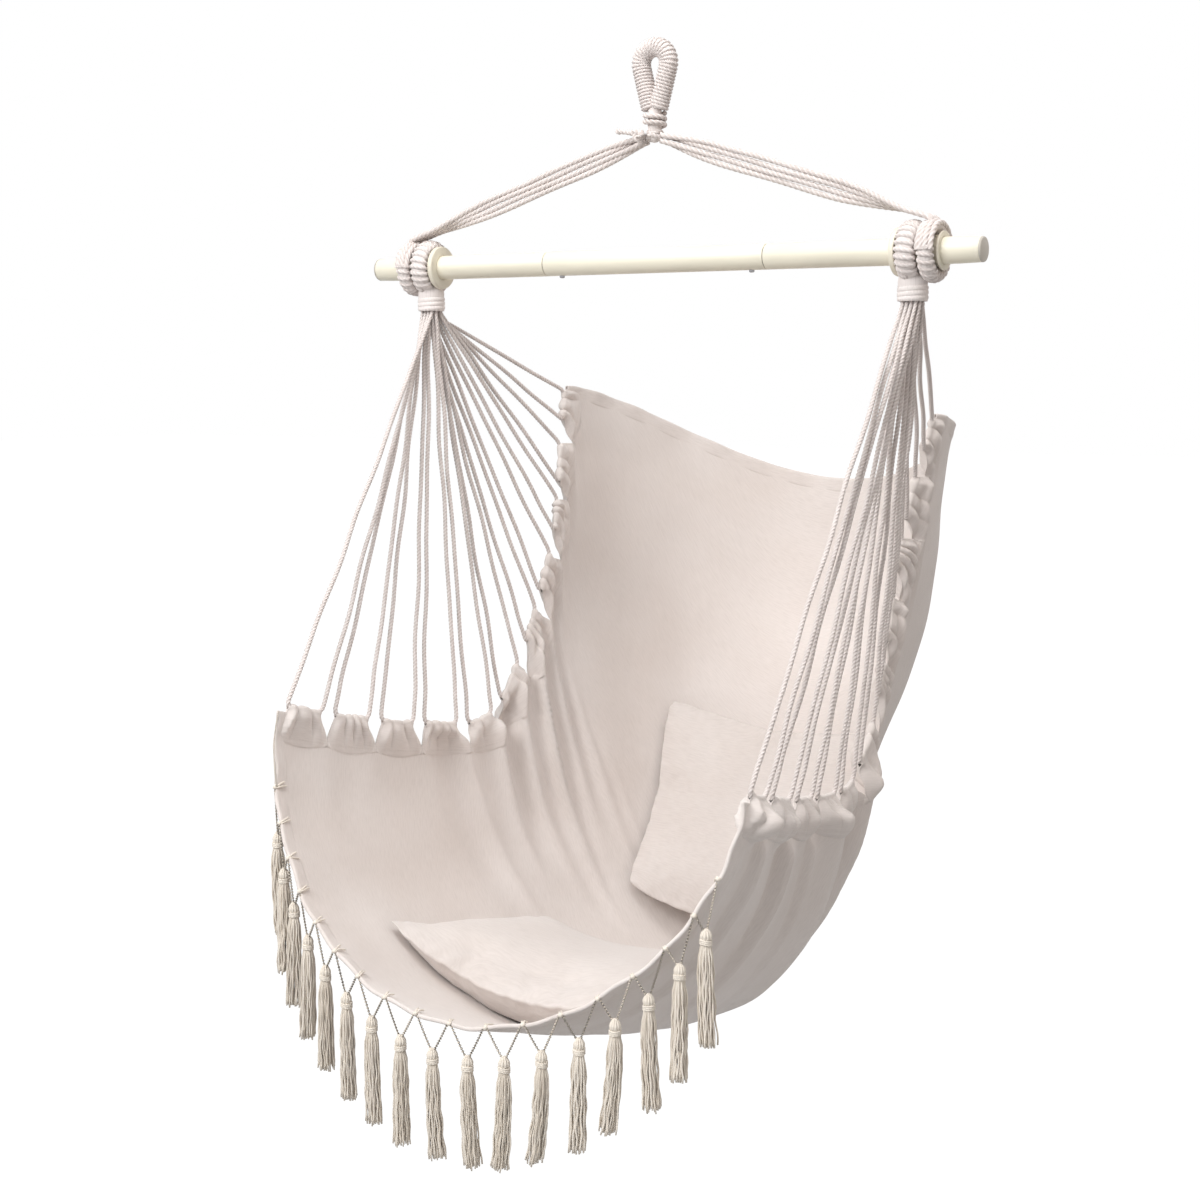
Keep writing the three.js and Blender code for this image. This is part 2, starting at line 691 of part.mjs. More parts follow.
function makeCloth() {
  const rows = rowPlaces.length;
  const columns = columnShares.length;
  const middle = rowPlaces.map((_, row) => columnShares.map((share) => foldedPoint(row, share)));
  const normalAt = (row, column) => {
    const back = middle[Math.min(row + 1, rows - 1)][column];
    const front = middle[Math.max(row - 1, 0)][column];
    const right = middle[row][Math.min(column + 1, columns - 1)];
    const left = middle[row][Math.max(column - 1, 0)];
    return right.clone().sub(left).cross(back.clone().sub(front)).normalize();
  };
  const positions = [];
  for (const side of [1, -1]) {
    middle.forEach((line, row) =>
      line.forEach((point, column) => {
        const offset = normalAt(row, column).multiplyScalar((side * clothThickness) / 2);
        positions.push(...point.clone().add(offset).toArray());
      }),
    );
  }
  const index = [];
  const at = (side, row, column) => side * rows * columns + row * columns + column;
  for (let row = 0; row < rows - 1; row += 1) {
    for (let column = 0; column < columns - 1; column += 1) {
      const [a, b] = [at(0, row, column), at(0, row, column + 1)];
      const [c, d] = [at(0, row + 1, column + 1), at(0, row + 1, column)];
      index.push(a, b, c, a, c, d);
      const lower = rows * columns;
      index.push(a + lower, c + lower, b + lower, a + lower, d + lower, c + lower);
    }
  }
  const rim = [];
  for (let column = 0; column < columns; column += 1) rim.push([0, column]);
  for (let row = 1; row < rows; row += 1) rim.push([row, columns - 1]);
  for (let column = columns - 2; column >= 0; column -= 1) rim.push([rows - 1, column]);
  for (let row = rows - 2; row > 0; row -= 1) rim.push([row, 0]);
  rim.forEach(([row, column], i) => {
    const [nextRow, nextColumn] = rim[(i + 1) % rim.length];
    const [a, b] = [at(0, row, column), at(0, nextRow, nextColumn)];
    const [c, d] = [at(1, nextRow, nextColumn), at(1, row, column)];
    index.push(a, c, b, a, d, c);
  });
  const geometry = new THREE.BufferGeometry();
  geometry.setAttribute("position", new THREE.Float32BufferAttribute(positions, 3));
  geometry.setIndex(index);
  geometry.computeVertexNormals();
  place("seat_fabric", geometry, cotton);
}

// Slots in a neck, front to back in staggered columns, walked to and fro so that neighbours touch.
function slotPlaces() {
  const columns = [4, 5, 4, 5, 4];
  const columnPitch = (slotPitch * Math.sqrt(3)) / 2;
  const middle = (columns.length - 1) / 2;
  return columns.flatMap((count, column) => {
    const line = Array.from({ length: count }, (_, i) => (i - (count - 1) / 2) * slotPitch);
    if (column % 2) line.reverse();
    const depth = middle - Math.abs(column - middle);
    return line.map((x) => ({ x, y: (column - middle) * columnPitch, exit: depth * exitStagger }));
  });
}

// Harness cords: down from the neck, along the top of a bunch, up again, and over to the next one.
function makeHarness() {
  const slots = slotPlaces();
  const radius = cordDiameter / 2;
  const slotTop = -neckTop - neckRoof - touchGap - radius;
  const turnTop = slotTop - radius;
  for (const { name, sign } of sides) {
    const inwardShare = 0.1;
    const edge = (row) => {
      const s = rowPlaces[row];
      const hem = clothPoint(s, sign);
      const inner = clothPoint(s, sign * (1 - inwardShare));
      return hem.clone().addScaledVector(hem.clone().sub(inner).normalize(), radius + 2 * touchGap);
    };
    const slotPoint = (leg, z) => {
      const slot = slots[leg];
      return new THREE.Vector3(sign * (seatLoopPlace + slot.x), slot.y, z);
    };
    const legPoints = (leg, corner) => {
      const exit = slotPoint(leg, -neckBottom - exitDrop - slots[leg].exit);
      return [slotPoint(leg, turnTop), exit, corner];
    };
    for (let cord = 0; cord * 2 < bunchCount; cord += 1) {
      const points = [];
      for (let bunch = 2 * cord; bunch < Math.min(2 * cord + 2, bunchCount); bunch += 1) {
        const row = bunch * bunchRowShares.length;
        const [first, middle, last] = [edge(row + 1), edge(row + 2), edge(row + 3)];
        if (points.length) {
          const turn = slotPoint(2 * bunch - 1, slotTop).lerp(slotPoint(2 * bunch, slotTop), 0.5);
          points.push(turn);
        }
        points.push(...legPoints(2 * bunch, first), middle);
        points.push(...legPoints(2 * bunch + 1, last).reverse());
      }
      place(`harness_cord_${name}_${cord + 1}`, tube(points, cordDiameter, 8), rope);
    }
  }
}

// Cushions: each is set on a patch of the cloth and bent part of the way to its hollow.
const cushionSteps = 12;
const cushions = [
  {
    name: "seat_cushion",
    from: 0.1,
    to: 0.345,
    half: 0.41,
    bendShare: 0.75,
    lift: seatCushionLift,
    thickness: seatCushionThickness,
  },
  {
    name: "back_cushion",
    from: 0.475,
    to: 0.705,
    half: 0.42,
    bendShare: 0.35,
    lift: backCushionLift,
    thickness: backCushionThickness,
  },
];

function makeCushion({ name, from, to, half, bendShare, lift, thickness }) {
  const drawnInShare = 0.05;
  const crownPower = 0.45;
  const corner = (p, q) => clothPoint(from + ((to - from) * (q + 1)) / 2, half * p);
  const corners = [corner(-1, -1), corner(1, -1), corner(-1, 1), corner(1, 1)];
  const right = corners[1].clone().add(corners[3]).sub(corners[0]).sub(corners[2]);
  const back = corners[2].clone().add(corners[3]).sub(corners[0]).sub(corners[1]);
  const normal = right.cross(back).normalize();
  const top = [];
  const bottom = [];
  for (let j = 0; j <= cushionSteps; j += 1) {
    for (let i = 0; i <= cushionSteps; i += 1) {
      const p0 = Math.sin((Math.PI / 2) * ((2 * i) / cushionSteps - 1));
      const q0 = Math.sin((Math.PI / 2) * ((2 * j) / cushionSteps - 1));
      const p = p0 * (1 - drawnInShare * (1 - q0 * q0));
      const q = q0 * (1 - drawnInShare * (1 - p0 * p0));
      const cloth = corner(p, q);
      const flat = corners[0].clone().multiplyScalar((1 - p) * (1 - q));
      flat.addScaledVector(corners[1], (1 + p) * (1 - q));
      flat.addScaledVector(corners[2], (1 - p) * (1 + q)).addScaledVector(corners[3], (1 + p) * (1 + q));
      const middle = flat.multiplyScalar(1 / 4).lerp(cloth, bendShare);
      middle.addScaledVector(normal, lift);
      const crown = ((1 - p0 * p0) * (1 - q0 * q0)) ** crownPower;
      const room = middle.clone().sub(cloth).dot(normal) - cushionClearance;
      const under = Math.min((thickness / 2) * crown, Math.max(room, 0));
      top.push(middle.clone().addScaledVector(normal, thickness * crown - under));
      bottom.push(middle.clone().addScaledVector(normal, -under));
    }
  }
  place(name, closedPair(top, bottom, cushionSteps + 1), cotton);
}

// Two square grids of points that meet along their edges, as one closed surface.
function closedPair(top, bottom, size) {
  const positions = [...top, ...bottom].flatMap((point) => point.toArray());
  const index = [];
  for (let j = 0; j < size - 1; j += 1) {
    for (let i = 0; i < size - 1; i += 1) {
      const a = j * size + i;
      const [b, c, d] = [a + 1, a + size + 1, a + size];
      const lower = size * size;
      index.push(a, b, c, a, c, d);
      index.push(a + lower, c + lower, b + lower, a + lower, d + lower, c + lower);
    }
  }
  const geometry = new THREE.BufferGeometry();
  geometry.setAttribute("position", new THREE.Float32BufferAttribute(positions, 3));
  geometry.setIndex(index);
  return toGeometry(toSolid(geometry));
}

// Tassels: each hangs from the front hem on a thread tied at two places along it.
function frontHem() {
  const reach = [0];
  const hem = columnShares.map((share) => foldedPoint(0, share));
  const inner = columnShares.map((share) => foldedPoint(1, share));
  hem.slice(1).forEach((point, i) => reach.push(reach[i] + point.distanceTo(hem[i])));
  return (distance, out) => {
    const i = reach.findIndex((value) => value >= distance);
    const f = (distance - reach[i - 1]) / (reach[i] - reach[i - 1]);
    const [at, from] = [hem, inner].map((line) => line[i - 1].clone().lerp(line[i], f));
    return at.clone().addScaledVector(at.clone().sub(from).normalize(), out);
  };
}

export function tasselTies() {
  const hemAt = frontHem();
  const tieInset = threadDiameter / 2 + 2 * touchGap;
  const out = threadDiameter / 2 + hemClearance + clothThickness / 2;
  return Array.from({ length: tasselCount }, (_, i) => {
    const start = tasselCornerInset + i * tasselPitch;
    return [hemAt(start + tieInset, out), hemAt(start + tasselPitch - tieInset, out)];
  });
}

function makeTassels() {
  const head = tasselHeadDiameter / 2;
  const neck = tasselNeckDiameter / 2;
  const skirtTop = skirtTopDiameter / 2;
  const skirtBottom = skirtBottomDiameter / 2;
  const headTopShare = 0.5;
  tasselTies().forEach(([left, right], i) => {
    const apex = left.clone().lerp(right, 0.5).addScaledVector(up, -threadDrop);
    const levels = [0, -tasselHeadHeight, -tasselHeadHeight - tasselNeckHeight];
    const profile = [
      [0, 0],
      [head * headTopShare, 0],
      [head, levels[1] / 2],
      [neck, levels[1]],
      [neck, levels[2]],
      [skirtTop, levels[2] - tasselNeckHeight],
      [skirtBottom, levels[2] - skirtLength],
      [0, levels[2] - skirtLength],
    ];
    const body = turned(profile, 6, "z").translate(apex.x, apex.y, apex.z);
    const end = apex.clone().addScaledVector(up, -threadDiameter);
    const thread = tube([left, end, right], threadDiameter, 6);
    place(`tassel_${String(i + 1).padStart(2, "0")}`, join(body, thread), fringe);
  });
}

makeEye();
makeNeckWrap();
makeStopperKnot();
makeBar();
makeEndCaps();
makeSnapButtons();
makeBushes();
makeSeatLoops();
makeBridle();
makeCloth();
makeHarness();
cushions.forEach(makeCushion);
makeTassels();

export default chair;
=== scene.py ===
import math
import bmesh
import bpy
import numpy as np
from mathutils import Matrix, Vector


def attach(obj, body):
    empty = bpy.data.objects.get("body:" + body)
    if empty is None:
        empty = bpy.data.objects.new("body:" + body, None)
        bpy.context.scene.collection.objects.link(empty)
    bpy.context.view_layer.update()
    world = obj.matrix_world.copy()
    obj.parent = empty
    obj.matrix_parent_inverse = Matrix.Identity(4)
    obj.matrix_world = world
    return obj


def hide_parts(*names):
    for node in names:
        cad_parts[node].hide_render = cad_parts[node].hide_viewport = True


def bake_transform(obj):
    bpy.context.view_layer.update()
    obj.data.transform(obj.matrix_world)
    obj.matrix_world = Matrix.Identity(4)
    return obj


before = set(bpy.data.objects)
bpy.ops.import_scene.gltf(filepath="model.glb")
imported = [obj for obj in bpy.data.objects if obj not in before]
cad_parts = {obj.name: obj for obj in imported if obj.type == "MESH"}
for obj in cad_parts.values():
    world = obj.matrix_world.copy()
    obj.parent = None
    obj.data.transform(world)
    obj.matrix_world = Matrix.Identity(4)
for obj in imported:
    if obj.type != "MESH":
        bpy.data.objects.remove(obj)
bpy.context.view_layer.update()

# A hammock chair of cream cotton on a three-piece bar. Metres, +Z up, +X along the bar,
# -Y where the knees are. The origin is the point inside the rope eye where a hook bears.
barDrop = 0.286
tau = 2 * math.pi
bothSides = (("Left", -1), ("Right", 1))
onAxis = 0.0001  # radius of a turned outline where it starts or ends on its axis


def linked(name, data):
    obj = bpy.data.objects.new(name, data)
    bpy.context.collection.objects.link(obj)
    return obj


camera = {
    "place": (1.4134, -2.4481, -0.446),
    "bearing": 31.59,  # degrees that the view turns to the left of +Y
    "pitch": 6.74,  # degrees that it looks down
    "lens": 57.88,
    "sensor": 36,
}


def makeCamera():
    bearing, pitch = math.radians(camera["bearing"]), math.radians(camera["pitch"])
    level = math.cos(pitch)
    look = Vector((-math.sin(bearing) * level, math.cos(bearing) * level, -math.sin(pitch)))
    data = bpy.data.cameras.new("viewCamera")
    data.lens, data.sensor_width = camera["lens"], camera["sensor"]
    obj = linked("viewCamera", data)
    obj.location = camera["place"]
    obj.rotation_euler = look.to_track_quat("-Z", "Y").to_euler()
    bpy.context.scene.camera = obj


# Small tools for numbers and arrays of points
def unit(vectors):
    return vectors / np.maximum(np.linalg.norm(vectors, axis=-1, keepdims=True), 1e-12)


def rise(value, low, high):
    # 0 up to low and 1 from high on, with a smooth step between them
    share = np.clip((value - low) / (high - low), 0, 1)
    return share * share * (3 - 2 * share)


def mixed(first, second, share):
    return first + (second - first) * share


def spread(start, end, count):
    return np.linspace(start, end, count)


def even(path, step=None, count=None):
    # Points at even distances along a path; the step is rounded to fill it
    lengths = np.linalg.norm(np.diff(path, axis=0), axis=1)
    reach = np.concatenate([[0], np.cumsum(lengths)])
    count = count or max(3, int(round(reach[-1] / step)) + 1)
    goal = spread(0, reach[-1], count)
    return np.stack([np.interp(goal, reach, path[:, axis]) for axis in range(3)], axis=1)


def rounded(points, radius, step):
    # Each corner gives way to a parabola that leaves and meets its two straights
    points = np.array(points, float)
    share = spread(0, 1, 9)[:, None]
    path = [points[:1]]
    for before, corner, after in zip(points[:-2], points[1:-1], points[2:]):
        into, out = corner - before, after - corner
        cut = min(radius, 0.45 * np.linalg.norm(into), 0.45 * np.linalg.norm(out))
        start, end = corner - unit(into) * cut, corner + unit(out) * cut
        path.append(start * (1 - share) ** 2 + 2 * corner * share * (1 - share) + end * share**2)
    path.append(points[-1:])
    return even(np.concatenate(path), step)


def arcLength(path):
    return np.concatenate([[0], np.cumsum(np.linalg.norm(np.diff(path, axis=0), axis=1))])


# Surfaces: a grid of points, rows by columns, whose faces look along (next column) x (next row)
def gridPart(points, uv=None, toneAndShade=1.0, wrap=False, caps=False, loop=False):
    rows, columns = points.shape[:2]
    index = np.arange(rows * columns).reshape(rows, columns)
    index = np.concatenate([index, index[:, :1]], axis=1) if wrap else index
    index = np.concatenate([index, index[:1]], axis=0) if loop else index
    if uv is None:
        across, along = np.meshgrid(spread(0, 1, index.shape[1]), spread(0, 1, index.shape[0]))
        uv = np.stack([across, along], axis=-1)

    def corners(grid):
        return np.stack([grid[:-1, :-1], grid[:-1, 1:], grid[1:, 1:], grid[1:, :-1]], axis=2)

    part = {
        "points": points.reshape(-1, 3),
        "quads": corners(index).reshape(-1, 4),
        "quadUv": corners(uv).reshape(-1, 4, 2),
        "tris": np.empty((0, 3), int),
        "triUv": np.empty((0, 3, 2)),
        "toneAndShade": np.broadcast_to(toneAndShade, points.shape[:2]).reshape(-1),
    }
    if caps:
        count = rows * columns
        centres = points[[0, -1]].mean(axis=1)
        first = np.stack([np.full(columns, count), index[0, 1:], index[0, :-1]], axis=1)
        last = np.stack([np.full(columns, count + 1), index[-1, :-1], index[-1, 1:]], axis=1)
        part["points"] = np.concatenate([part["points"], centres])
        part["toneAndShade"] = np.concatenate([part["toneAndShade"], part["toneAndShade"][[0, -1]]])
        part["tris"] = np.concatenate([first, last])
        ends = np.stack([uv[0, 0], uv[-1, 0]]).repeat(columns, axis=0)
        part["triUv"] = np.repeat(ends[:, None], 3, axis=1)
    return part


def joined(parts):
    starts = np.cumsum([0] + [len(part["points"]) for part in parts[:-1]])
    keys = ("points", "toneAndShade", "quadUv", "triUv")
    whole = {key: np.concatenate([part[key] for part in parts]) for key in keys}
    for key in ("quads", "tris"):
        whole[key] = np.concatenate([part[key] + start for part, start in zip(parts, starts)])
    return whole


def makePiece(
    name, parts, material, body, replaces=(), sharp=None, wall=None, subdivide=0, outward=False
):
    # One mesh of all the parts: sharp is an angle in degrees, wall a thickness in metres
    whole = joined(parts)
    quads, tris = whole["quads"], whole["tris"]
    mesh = bpy.data.meshes.new(name)
    mesh.vertices.add(len(whole["points"]))
    mesh.vertices.foreach_set("co", whole["points"].astype(np.float32).ravel())
    corners = np.concatenate([quads.ravel(), tris.ravel()]).astype(np.int32)
    mesh.loops.add(len(corners))
    mesh.loops.foreach_set("vertex_index", corners)
    starts = np.concatenate([np.arange(len(quads)) * 4, quads.size + np.arange(len(tris)) * 3])
    mesh.polygons.add(len(starts))
    mesh.polygons.foreach_set("loop_start", starts.astype(np.int32))
    mesh.polygons.foreach_set("use_smooth", np.ones(len(starts), bool))
    layer = mesh.uv_layers.new(name="UVMap")
    flat = np.concatenate([whole["quadUv"].reshape(-1, 2), whole["triUv"].reshape(-1, 2)])
    layer.data.foreach_set("uv", flat.astype(np.float32).ravel())
    toneAndShade = mesh.attributes.new("toneAndShade", "FLOAT", "POINT")
    toneAndShade.data.foreach_set("value", whole["toneAndShade"].astype(np.float32))
    mesh.update(calc_edges=True)
    mesh.validate()
    if outward:
        worked(mesh, lambda made: bmesh.ops.recalc_face_normals(made, faces=made.faces))
    if sharp:
        mesh.set_sharp_from_angle(angle=math.radians(sharp))
    obj = linked(name, mesh)
    mesh.materials.append(material)
    if wall:
        solidify = obj.modifiers.new("Wall", "SOLIDIFY")
        solidify.thickness, solidify.offset = wall, 0
    if subdivide:
        smoother = obj.modifiers.new("Smooth", "SUBSURF")
        smoother.levels = smoother.render_levels = subdivide
    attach(obj, body)
    if replaces:
        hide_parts(*replaces)
    return obj


def worked(mesh, change):
    # Makes one change to a mesh in bmesh
    made = bmesh.new()
    made.from_mesh(mesh)
    change(made)
    made.to_mesh(mesh)
    made.free()


# Sections carried along a path
def carried(path, facing, radii, angles, turn=0.0):
    # At each point of the path a ring of the given radii stands square to it; facing says where
    # angle zero points, and turn rotates each ring by its own amount
    tangent = unit(np.gradient(path, axis=0))
    facing = np.broadcast_to(facing, path.shape)
    side = unit(facing - (facing * tangent).sum(-1, keepdims=True) * tangent)
    third = np.cross(tangent, side)
    angle = angles[None, :] + np.broadcast_to(turn, (len(path),))[:, None]
    radii = np.broadcast_to(radii, angle.shape)
    ring = np.cos(angle)[..., None] * side[:, None] + np.sin(angle)[..., None] * third[:, None]
    return path[:, None] + ring * radii[..., None]


def plainTube(path, radius, facing, sides=12, toneAndShade=1.0):
    # A round ring carried along a path
    angles = np.arange(sides) * tau / sides
    radii = np.broadcast_to(radius, (len(path),))[:, None]
    points = carried(path, facing, radii, angles)
    reach = arcLength(path)
    across, along = np.meshgrid(spread(0, 1, sides + 1), reach)
    return gridPart(points, np.stack([across, along], axis=-1), toneAndShade, wrap=True, caps=True)


def laidRope(path, radius, facing, pitch, strands=3, perStrand=5, hand=1, groove=0.8):
    # Laid rope: strands of round section lie about the middle, so a ring's radius is
    # d cos a + sqrt(r^2 - d^2 sin^2 a) about each strand, and the ring turns once a pitch
    sides = strands * perStrand
    angles = np.arange(sides) * tau / sides
    offset = (angles + math.pi / strands) % (tau / strands) - math.pi / strands
    share = 1 / (1 + math.sin(math.pi / strands))
    strand = 1 - share
    inside = np.maximum(strand**2 - (share * np.sin(offset)) ** 2, 0)
    shape = np.maximum(share * np.cos(offset) + np.sqrt(inside), groove)
    reach = arcLength(path)
    radii = np.broadcast_to(radius, (len(path),))[:, None] * shape[None]
    points = carried(path, facing, radii, angles, hand * tau * reach / pitch)
    across, along = np.meshgrid(spread(0, strands, sides + 1), reach)
    # Painted shade: each point is darker the deeper it lies in a groove between strands
    toneAndShade = np.broadcast_to(0.67 + 0.33 * (shape - groove) / (1 - groove), radii.shape)
    return gridPart(points, np.stack([across, along], axis=-1), toneAndShade, wrap=True, caps=True)


def manyTubes(paths, radii, sideCount, tonesAndShades):
    # Strands side by side, all roughly upright: each is a round ring carried along its own path
    angles = np.arange(sideCount) * tau / sideCount
    facing = np.array([1.0, 0, 0])
    tubes = []
    for path, radius, toneAndShade in zip(paths, radii, tonesAndShades):
        points = carried(path, facing, radius[:, None], angles)
        tubes.append(gridPart(points, None, toneAndShade, wrap=True, caps=True))
    return tubes


def turnedPart(profile, axis="x", sides=96, centre=(0, 0, 0), closed=True):
    # A closed profile of (place along the axis, radius) turned about X or Z
    profile = np.array(profile, float)
    angle = np.arange(sides) * tau / sides
    along = np.repeat(profile[:, :1], sides, axis=1)
    first, second = profile[:, 1:] * np.cos(angle), profile[:, 1:] * np.sin(angle)
    order = [along, first, second] if axis == "x" else [first, second, along]
    points = np.stack(order, axis=-1) + np.array(centre)
    reach = arcLength(np.pad(profile, ((0, 0), (0, 1))))
    rows = len(profile) + 1 if closed else len(profile)
    reach = np.append(reach, reach[-1] + 0.001)[:rows]
    across, up = np.meshgrid(spread(0, tau * profile[:, 1].max(), sides + 1), reach)
    uv = np.stack([across, up], axis=-1)
    return gridPart(points, uv, 1.0, wrap=True, loop=closed, caps=not closed)


# Materials
def newMaterial(name, colour, roughness, sheen=0.0, metal=0.0):
    material = bpy.data.materials.new(name)
    material.use_nodes = True
    nodes, links = material.node_tree.nodes, material.node_tree.links
    shader = nodes["Principled BSDF"]
    shader.inputs["Base Color"].default_value = (*colour, 1)
    shader.inputs["Roughness"].default_value = roughness
    shader.inputs["Metallic"].default_value = metal
    if sheen:
        shader.inputs["Sheen Weight"].default_value = sheen
        shader.inputs["Sheen Roughness"].default_value = 0.5
    return material, nodes, links, shader


def noise(nodes, links, place, scale, detail=3.0, stretch=(1, 1, 1)):
    mapping = nodes.new("ShaderNodeMapping")
    mapping.inputs["Scale"].default_value = stretch
    links.new(place, mapping.inputs["Vector"])
    texture = nodes.new("ShaderNodeTexNoise")
    texture.inputs["Scale"].default_value = scale
    texture.inputs["Detail"].default_value = detail
    links.new(mapping.outputs["Vector"], texture.inputs["Vector"])
    return texture.outputs["Fac"]


def ramp(nodes, links, value, low, high, lowColour, highColour):
    made = nodes.new("ShaderNodeMapRange")
    made.data_type = "FLOAT"
    made.inputs["From Min"].default_value = low
    made.inputs["From Max"].default_value = high
    links.new(value, made.inputs["Value"])
    mix = nodes.new("ShaderNodeMix")
    mix.data_type = "RGBA"
    mix.inputs["A"].default_value = (*lowColour, 1)
    mix.inputs["B"].default_value = (*highColour, 1)
    links.new(made.outputs["Result"], mix.inputs["Factor"])
    return mix.outputs["Result"]


def math2(nodes, links, operation, first, second):
    node = nodes.new("ShaderNodeMath")
    node.operation = operation
    for socket, value in zip(node.inputs, (first, second)):
        if isinstance(value, (int, float)):
            socket.default_value = value
        else:
            links.new(value, socket)
    return node.outputs["Value"]


def tinted(nodes, links, colour, factor):
    # The colour darkened by a factor between 0 and 1
    mix = nodes.new("ShaderNodeMix")
    mix.data_type = "RGBA"
    mix.blend_type = "MULTIPLY"
    mix.inputs["Factor"].default_value = 1
    links.new(colour, mix.inputs["A"])
    links.new(factor, mix.inputs["B"])
    return mix.outputs["Result"]


def bumped(nodes, links, shader, layers):
    # Bumps stacked one on another, each a height, its strength and its depth in metres
    normal = None
    for height, strength, distance in layers:
        bump = nodes.new("ShaderNodeBump")
        bump.inputs["Strength"].default_value = strength
        bump.inputs["Distance"].default_value = distance
        links.new(height, bump.inputs["Height"])
        if normal:
            links.new(normal, bump.inputs["Normal"])
        normal = bump.outputs["Normal"]
    links.new(normal, shader.inputs["Normal"])


canvas = {
    "light": (0.785, 0.725, 0.692),
    "dark": (0.72, 0.65, 0.61),
    "roughness": 0.93,
    "sheen": 0.25,
    "yarn": 0.0012,  # pitch of the weave
    "slubs": 60,  # scale of the thicker places in the yarn
    "crumple": 22,
    "cloud": 5,
    "fleck": (0.93, 0.925, 0.92),  # tint of the thinner yarn
    "stitch": 0.005,  # length of one stitch
    "stitchSway": 0.0006,
    "stitchShade": (0.96, 0.955, 0.95),
    "stitchWidth": (0.0003, 0.0016),  # half, at its darkest and where it ends
}


def clothWave(nodes, links, uv, direction):
    # One set of yarns: bands across the flat cloth. The wave texture has 20 bands in tau units
    wave = nodes.new("ShaderNodeTexWave")
    wave.bands_direction = direction
    wave.inputs["Scale"].default_value = tau / 20 / canvas["yarn"]
    wave.inputs["Distortion"].default_value = 0.6
    wave.inputs["Detail"].default_value = 1
    wave.inputs["Detail Scale"].default_value = 2
    links.new(uv, wave.inputs["Vector"])
    return wave.outputs["Fac"]


def stitchLine(nodes, links, uv, depth):
    # A seam: its distance from the line at that depth, with a ripple of one stitch
    split = nodes.new("ShaderNodeSeparateXYZ")
    links.new(uv, split.inputs["Vector"])
    offset = math2(nodes, links, "SUBTRACT", split.outputs["Y"], depth)
    away = math2(nodes, links, "ABSOLUTE", offset, 0)
    turn = math2(nodes, links, "MULTIPLY", split.outputs["X"], tau / canvas["stitch"])
    beat = math2(nodes, links, "SINE", turn, 0)
    line = math2(nodes, links, "ADD", away, math2(nodes, links, "MULTIPLY", beat, -canvas["stitchSway"]))
    return ramp(nodes, links, line, *canvas["stitchWidth"], canvas["stitchShade"], (1, 1, 1))


def canvasMaterial(name, stitchDepth=None, shade=1.0):
    # shade scales both colours of the canvas; below 1 it makes a darker copy of the cloth, painted shade
    light, dark = (tuple(shade * value for value in canvas[key]) for key in ("light", "dark"))
    material, nodes, links, shader = newMaterial(name, light, canvas["roughness"], canvas["sheen"])
    uv = nodes.new("ShaderNodeUVMap").outputs["UV"]
    place = nodes.new("ShaderNodeTexCoord").outputs["Object"]
    warp, weft = (clothWave(nodes, links, uv, direction) for direction in ("X", "Y"))
    weave = math2(nodes, links, "MAXIMUM", warp, weft)
    slubs = noise(nodes, links, uv, canvas["slubs"], 2, (1, 9, 1))
    crumple = noise(nodes, links, place, canvas["crumple"], 4)
    cloud = noise(nodes, links, place, canvas["cloud"], 3)
    colour = ramp(nodes, links, cloud, 0.3, 0.7, dark, light)
    colour = tinted(nodes, links, colour, ramp(nodes, links, slubs, 0.3, 0.6, canvas["fleck"], (1, 1, 1)))
    if stitchDepth:
        colour = tinted(nodes, links, colour, stitchLine(nodes, links, uv, stitchDepth))
    links.new(colour, shader.inputs["Base Color"])
    bumped(nodes, links, shader, [(crumple, 0.35, 0.004), (slubs, 0.3, 0.0006), (weave, 0.35, 0.0004)])
    return material


# dark is the colour that the painted groove shade and the random cloud pull towards
ropeYarn = {"light": (0.87, 0.805, 0.78), "dark": (0.66, 0.585, 0.55), "roughness": 0.95, "sheen": 0.2}


def ropeMaterial(name, colours=ropeYarn, fibres=8):
    # Fibres run along each strand; the grooves between strands are darker by painted shade, with a random
    # cloud over it
    light, roughness, sheen = colours["light"], colours["roughness"], colours["sheen"]
    material, nodes, links, shader = newMaterial(name, light, roughness, sheen)
    uv = nodes.new("ShaderNodeUVMap").outputs["UV"]
    place = nodes.new("ShaderNodeTexCoord").outputs["Object"]
    fibre = noise(nodes, links, uv, 1, 2, (fibres, 90, 1))
    fuzz = noise(nodes, links, place, 900, 2)
    cloud = noise(nodes, links, place, 40, 2)
    toneAndShade = nodes.new("ShaderNodeAttribute")
    toneAndShade.attribute_name = "toneAndShade"
    shade = math2(nodes, links, "MULTIPLY_ADD", cloud, 0.3)
    links.new(toneAndShade.outputs["Fac"], shade.node.inputs[2])
    colour = ramp(nodes, links, shade, 0.75, 1.12, colours["dark"], light)
    streaks = ramp(nodes, links, fibre, 0.3, 0.65, (0.86, 0.85, 0.84), (1, 1, 1))
    colour = tinted(nodes, links, colour, streaks)
    links.new(colour, shader.inputs["Base Color"])
    bumped(nodes, links, shader, [(fibre, 0.4, 0.00018), (fuzz, 0.3, 0.00012)])
    return material


